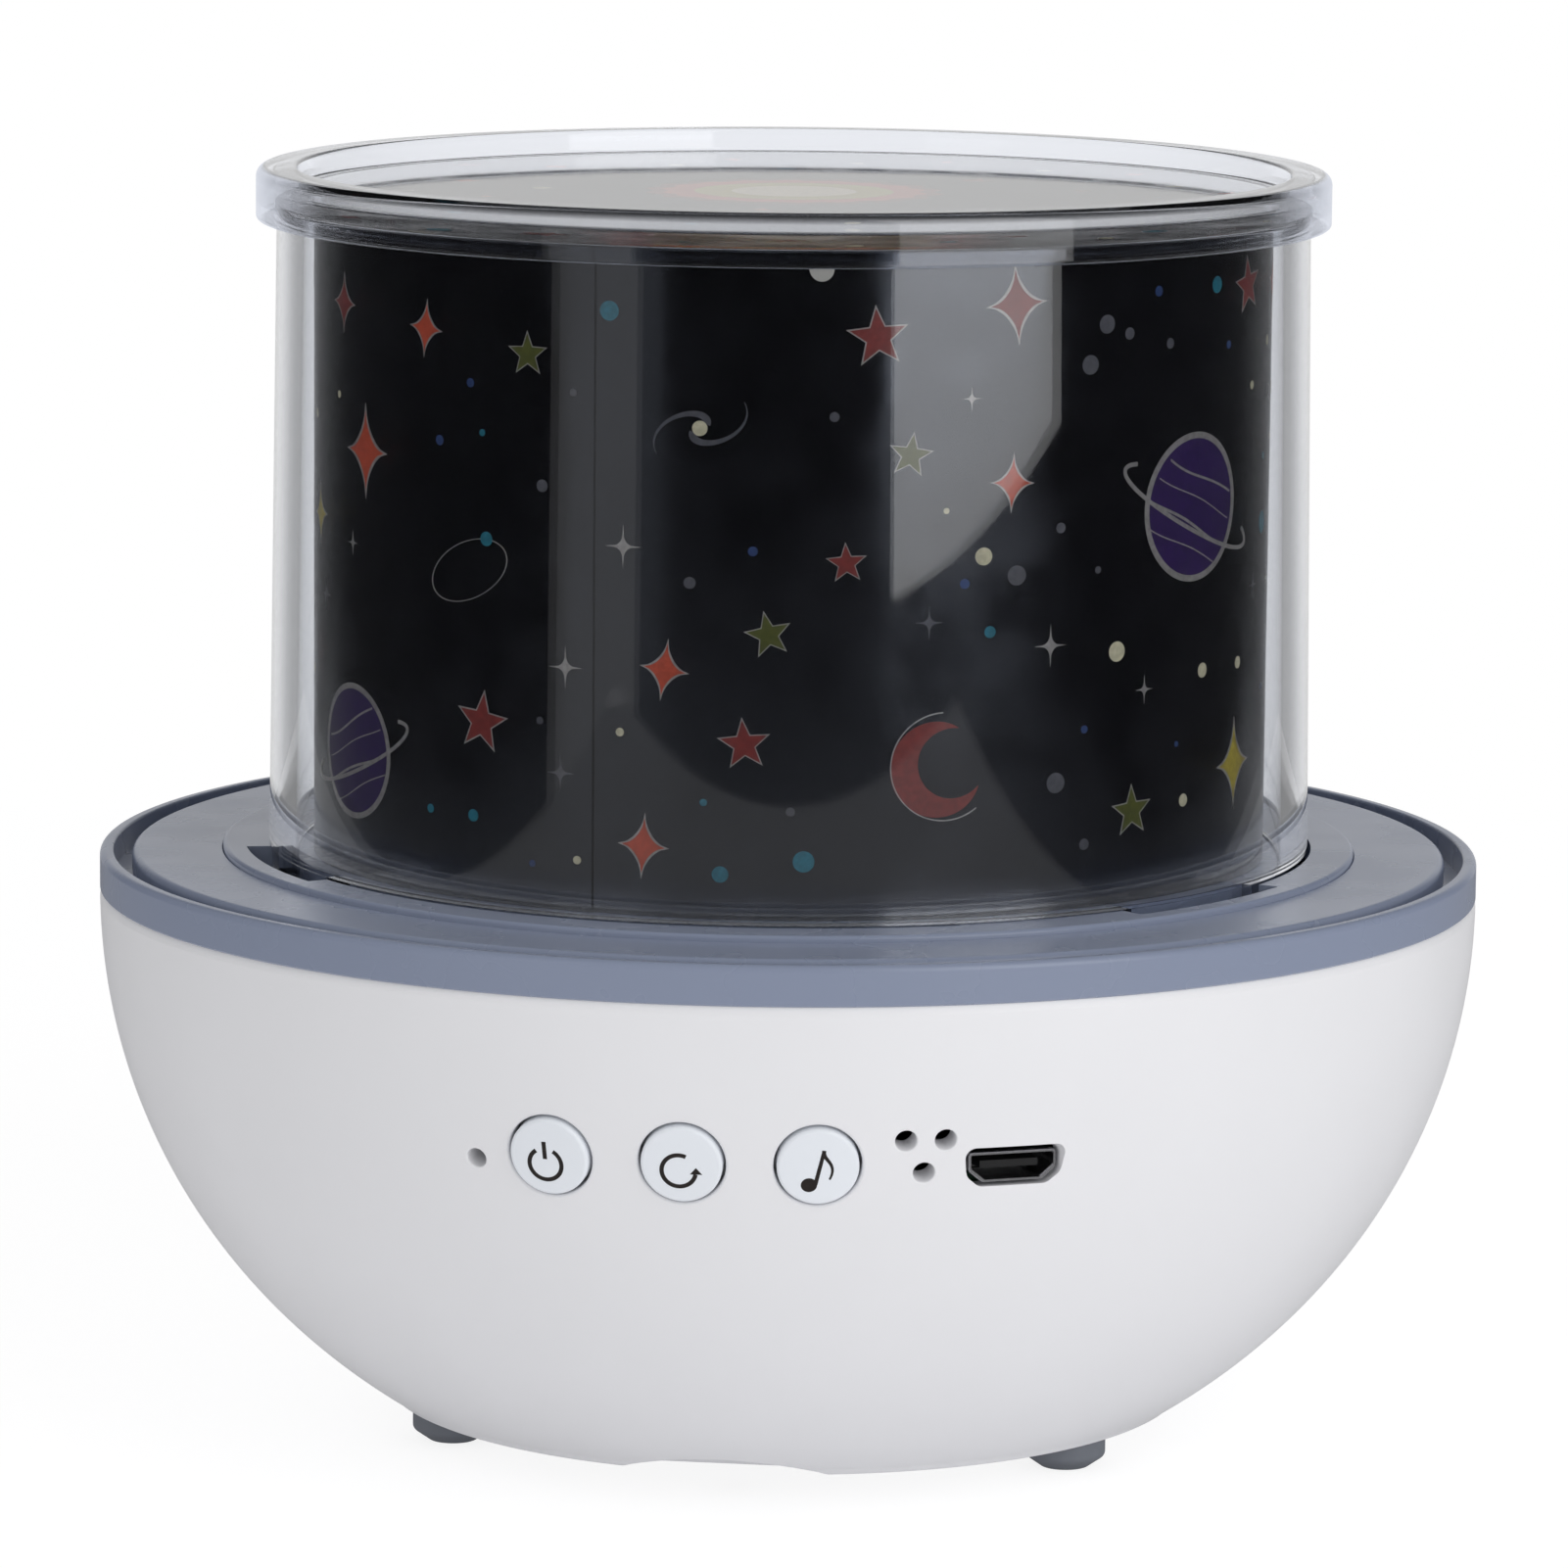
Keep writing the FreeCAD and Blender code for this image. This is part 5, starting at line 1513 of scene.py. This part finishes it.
@dataclass
class Artwork:
    """A generic night sky printed on the rolled film and on the top film."""

    shelf: Shelf
    sheet: Sheet
    reach: Span = (55, 103)
    tries: int = 14
    mm_per_degree: float = 0.7226
    draw: np.random.Generator = field(default_factory=lambda: np.random.default_rng(11))
    inks: dict = field(default_factory=lambda: {"film": {}, "lid": {}})
    taken: list = field(default_factory=list)

    def build(self) -> None:
        """Lay out the prints and make one piece for each ink."""
        self.large_prints()
        self.small_prints()
        self.top_prints()
        for body, inks in self.inks.items():
            for tint, patches in inks.items():
                name = f"{body}_{tint.value.label}"
                Piece(name, patches, body, self.shelf.get(tint), "printed_film", weighted=False)

    def put(self, parts: list, azimuth: float, z: float, turned: float = 0.0) -> None:
        """Put a figure on the rolled film."""
        for tint, patch in parts:
            self.inks["film"].setdefault(tint, []).append(self.sheet.wrap(patch, azimuth, z, turned))

    def large_prints(self) -> None:
        """Place the large figures one by one, each with its azimuth, height, size and turn."""
        figures = (
            (ringed_planet, -52, 62, 11, Tint.VIOLET, 20), (ringed_planet, 61, 84, 12, Tint.VIOLET, -24),
            (ringed_planet, 172, 68, 12, Tint.RED, 18), (crescent, 26, 64, 8.5, Tint.RED, 30),
            (crescent, -92, 86, 9, Tint.GOLD, -20), (crescent, 132, 90, 8, Tint.ORANGE, 10),
            (crescent, 236, 66, 9, Tint.RED, 50), (whirl, -2, 92, 9, Tint.GREY, 15),
            (whirl, 96, 62, 10, Tint.BLUE, -30), (whirl, 205, 92, 9, Tint.OLIVE, 10),
            (orbit, -31, 79, 8.6, Tint.TEAL, 24), (orbit, 118, 76, 9, Tint.BLUE, -15),
            (orbit, 275, 92, 9, Tint.RED, 30),
        )
        for make, azimuth, z, size, tint, turned in figures:
            self.put(make(size, tint), azimuth, z, turned)
            self.taken.append((azimuth, z, size * 0.8))

    def free_place(self, room: float) -> Span:
        """Find a place whose nearest neighbour is far off, from a few tries.

        Args:
            room: Radius of the print.

        Returns:
            Azimuth and height of the best try.
        """
        best, widest = (0.0, 0.0), -1e9
        for _ in range(self.tries):
            azimuth, z = self.draw.uniform(-180, 180), self.draw.uniform(*self.reach)
            taken = np.array(self.taken)
            apart = np.abs((taken[:, 0] - azimuth + 180) % 360 - 180) * self.mm_per_degree
            clear = (np.hypot(apart, taken[:, 1] - z) - taken[:, 2]).min() - room
            if clear > widest:
                best, widest = (azimuth, z), clear
        self.taken.append((*best, room))
        return best

    def small_prints(self) -> None:
        """Scatter stars, sparkles and dots."""
        for i in range(22):
            size = self.draw.uniform(4.2, 7.2)
            tint = (Tint.ORANGE, Tint.GOLD, Tint.RED, Tint.ORANGE)[i % 4]
            place = self.free_place(size * 0.5)
            self.put(bordered(spiked(0.62), size, tint, 0.15), *place, self.draw.uniform(-10, 10))
        for i in range(20):
            size = self.draw.uniform(3.0, 5.2)
            place = self.free_place(size * 0.5)
            tint = (Tint.RED, Tint.OLIVE, Tint.RED)[i % 3]
            self.put(bordered(star(5, 0.42), size, tint, 0.09), *place, self.draw.uniform(-14, 14))
        for i in range(34):
            size = self.draw.uniform(2.0, 4.0)
            tint = (Tint.PALE, Tint.GREY, Tint.PALE)[i % 3]
            self.put([(tint, plate(sized(spiked(0.42, 0.85), size), BED, INK))], *self.free_place(1.2))
        for i in range(96):
            size = self.draw.uniform(0.5, 1.05) * (1.9 if i % 4 == 0 else 1.0)
            tint = (Tint.TEAL, Tint.CREAM, Tint.GREY, Tint.BLUE, Tint.CREAM, Tint.GREY)[i % 6]
            self.put([(tint, plate(ring_points(size / 2, count=28), BED, INK, 2))], *self.free_place(0.4))

    def top_prints(self) -> None:
        """Print the top film: a sun in rings with small marks round it."""
        rings = [(12.6, Tint.RED), (11.2, Tint.ORANGE), (8.6, Tint.GOLD), (5.4, Tint.GLOW)]
        wave = 1 + 0.03 * np.cos(18 * np.linspace(0, 2 * np.pi, 180, endpoint=False))[:, None]
        for step, (radius, tint) in enumerate(rings):
            patch = plate(ring_points(radius, count=180) * (wave if step < 2 else 1), BED, INK + 0.012 * step, 2)
            self.inks["lid"].setdefault(tint, []).append(self.sheet.flat(patch, 0, 0, 0))
        for i in range(44):
            a, r = i * 2.39996, 16.5 + 22.5 * math.sqrt((i + 0.5) / 44)
            size = self.draw.uniform(1.2, 4.6)
            kind, tint = ((spiked(0.6), Tint.ORANGE), (star(5, 0.42), Tint.RED), (ring_points(count=24), Tint.CREAM),
                          (spiked(0.42), Tint.PALE), (ring_points(count=24), Tint.TEAL))[i % 5]
            patch = plate(sized(kind, size if i % 5 < 2 else size * 0.5), BED, INK, 1)
            self.inks["lid"].setdefault(tint, []).append(
                self.sheet.flat(patch, r * math.sin(a), -r * math.cos(a), math.degrees(a)))


# ---------------------------------------------------------------- studio

@dataclass(frozen=True)
class CameraFit:
    """The photograph's camera, fitted to the bezel, disc, cover and lid."""

    azimuth: float = 8.3
    distance: float = 712.75
    height: float = 168.21
    pitch: float = 8.937
    roll: float = 0.514
    focal_px: float = 8432.4
    centre_px: float = 805.39
    picture_px: float = 1601.0


@dataclass(frozen=True)
class Softbox:
    """A rectangular lamp that faces the object's axis.

    Its azimuth counts from the camera's to the right, in degrees. Distance from the axis, height of the middle, and
    width and height are millimetres. A light of 1 makes its face white. It leans in its own plane, in degrees.
    """

    name: str
    azimuth: float
    distance: float
    middle: float
    size: Span
    light: float
    lean: float = 0.0

    def hang(self, camera_azimuth: float) -> None:
        """Hang the lamp.

        Args:
            camera_azimuth: Azimuth that the lamp's own counts from, degrees.
        """
        data = bpy.data.lights.new(self.name, "AREA")
        data.shape, data.size, data.size_y = "RECTANGLE", self.size[0] * MM, self.size[1] * MM
        data.energy = self.light * math.pi * data.size * data.size_y
        lamp = bpy.data.objects.new(self.name, data)
        bpy.context.scene.collection.objects.link(lamp)
        place = azimuth_matrix(camera_azimuth + self.azimuth, y=-self.distance * MM, z=self.middle * MM)
        upright = Matrix(place.tolist()) @ Matrix.Rotation(math.radians(90), 4, "X")
        lamp.matrix_world = upright @ Matrix.Rotation(math.radians(self.lean), 4, "Z")
        lamp.visible_camera = False


@dataclass(frozen=True)
class Studio:
    """Floor, world, lamps and camera.

    Air is the strength of the light all round. A cone gives the cosines, from the way the camera looks, between which
    a light runs from its first to its second level: paper for what outer faces mirror, inner for what has bounced
    once inside clear plastic. After more bounces the light is the bounced one. The floor glows white for the camera,
    over a share of its lit face, and dimly in mirrors.
    """

    fit: CameraFit = CameraFit()
    air: float = 0.645
    paper_cone: Span = (0.84, 0.985)
    paper_light: Span = (0.01, 0.74)
    inner_cone: Span = (0.45, 0.97)
    inner_light: Span = (0.0, 0.5)
    bounced_light: float = 0.9
    floor_reach: tuple = ((-380, 360), (-500, 330), (-0.5, 0.0))
    floor_glow: float = 1.08
    floor_share: float = 0.74
    floor_mirrored: float = 0.25
    lamps: tuple = (
        Softbox("softbox_right", 38, 520, 344, (350, 620), 1.75, 3.6),
        Softbox("softbox_left", -42.4, 600, 300, (205, 640), 0.32),
    )

    def build(self) -> None:
        """Set up the studio."""
        self.make_camera()
        self.make_world()
        self.make_floor()
        for lamp in self.lamps:
            lamp.hang(self.fit.azimuth)
        bpy.context.scene.view_settings.view_transform = "Standard"

    def make_camera(self) -> None:
        """Place the camera by the fitted angles."""
        fit = self.fit
        data = bpy.data.cameras.new("camera")
        data.sensor_width = 36.0
        data.lens = fit.focal_px / fit.picture_px * data.sensor_width
        data.shift_x = -(fit.centre_px - fit.picture_px / 2) / fit.picture_px
        data.clip_start, data.clip_end = 0.01, 20
        camera = bpy.data.objects.new("camera", data)
        bpy.context.scene.collection.objects.link(camera)
        a = math.radians(fit.azimuth)
        place = Matrix.Translation((fit.distance * MM * math.sin(a), -fit.distance * MM * math.cos(a), fit.height * MM))
        camera.matrix_world = (
            place @ Matrix.Rotation(a, 4, "Z") @ Matrix.Rotation(math.radians(90 - fit.pitch), 4, "X")
            @ Matrix.Rotation(math.radians(fit.roll), 4, "Z")
        )
        bpy.context.scene.camera = camera

    def make_world(self) -> None:
        """Make the world.

        White where seen or looked at through clear plastic. Reflections show pale paper straight behind the
        object and a dim room elsewhere, as in the photograph; what has bounced about inside clear plastic comes out
        pale. All other light is soft grey.
        """
        bench = Bench("studio_air", world=True)
        seen, glossy, through, depth, passes = (
            bench.add("ShaderNodeLightPath", output=name)
            for name in ("Is Camera Ray", "Is Glossy Ray", "Is Transmission Ray", "Glossy Depth", "Transmission Depth")
        )
        mirrored, again = depth.past(0), depth.past(1)
        inside = passes.past(0) * (1 - passes.past(2))
        way = bench.add("ShaderNodeTexCoord")
        a = math.radians(self.fit.azimuth)
        ahead = bench.add("ShaderNodeVectorMath", {"operation": "DOT_PRODUCT"},
                          (way, (-math.sin(a), math.cos(a), 0.0)), output=1)
        room = ahead.eased(*self.paper_cone, *self.paper_light)
        room = room + inside * ahead.eased(*self.inner_cone, *self.inner_light)
        room = room * (1 - again) + again * self.bounced_light
        sharp = glossy.maximum(through)
        white = seen.maximum(sharp * (1 - mirrored)).maximum(sharp * mirrored * room)
        strength = (1 - seen.maximum(sharp)) * self.air + white
        surface = bench.add("ShaderNodeBackground", None, {"Color": (1, 1, 1, 1), "Strength": strength})
        bpy.context.scene.world = bench.output(surface)

    def make_floor(self) -> None:
        """Make the pale floor, which keeps a faint shadow and looks dim in reflections."""
        bench = Bench("floor_paper")
        seen, glossy, depth = (bench.add("ShaderNodeLightPath", output=name)
                               for name in ("Is Camera Ray", "Is Glossy Ray", "Glossy Depth"))
        mirrored = glossy * depth.past(0)
        seen = seen.maximum(glossy - mirrored)
        grain = bench.noise(1.5, 3.0)
        colour = bench.blend(grain, (0.84, 0.84, 0.85, 1), (0.87, 0.87, 0.88, 1))
        lit = bench.principled({
            "Base Color": colour, "Roughness": 0.8, "Emission Color": (1, 1, 1, 1), "Emission Strength": 0.2,
            "Specular IOR Level": 0.2,
        })
        light = seen * self.floor_glow + mirrored * self.floor_mirrored
        glow = bench.add("ShaderNodeEmission", None, {"Color": (1, 1, 1, 1), "Strength": light})
        surface = bench.add("ShaderNodeMixShader", None, (seen * self.floor_share + mirrored, lit, glow))
        material = bench.output(surface)
        turned = azimuth_matrix(self.fit.azimuth)
        sheet = box(*self.floor_reach).placed(turned)
        floor = bpy.data.objects.new("floor", joined_mesh("floor", [sheet]))
        bpy.context.scene.collection.objects.link(floor)
        floor.data.materials.append(material)


# ---------------------------------------------------------------- the rest of the solids

SLOT_FINISH = {finish.value.label: finish for finish in Finish}


def dress_solids(frame: dict, shelf: Shelf) -> None:
    """Give every solid that still shows its finish, by its material slot.

    Args:
        shelf: The materials made so far.
    """
    for name, thing in frame["nodes"].items():
        for slot in thing.material_slots:
            label = slot.material.name.split(".")[0] if slot.material else ""
            if label in SLOT_FINISH:
                slot.material = shelf.get(SLOT_FINISH[label])
            else:
                log.info("no finish for %s on %s", label, name)


def main() -> None:
    """Load the frame and make the pieces and the studio."""
    logging.basicConfig(level=logging.INFO, format="%(relativeCreated)6d ms %(message)s")
    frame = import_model()
    shelf = Shelf()
    dress_solids(frame, shelf)
    base, drum = Base(shelf), Drum(shelf)
    for part in (base, Turntable(shelf), drum, Buttons(shelf, base), Artwork(shelf, Sheet(drum)), Studio()):
        log.info("building: %s", type(part).__name__)
        part.build()


if __name__ == "__main__":
    main()
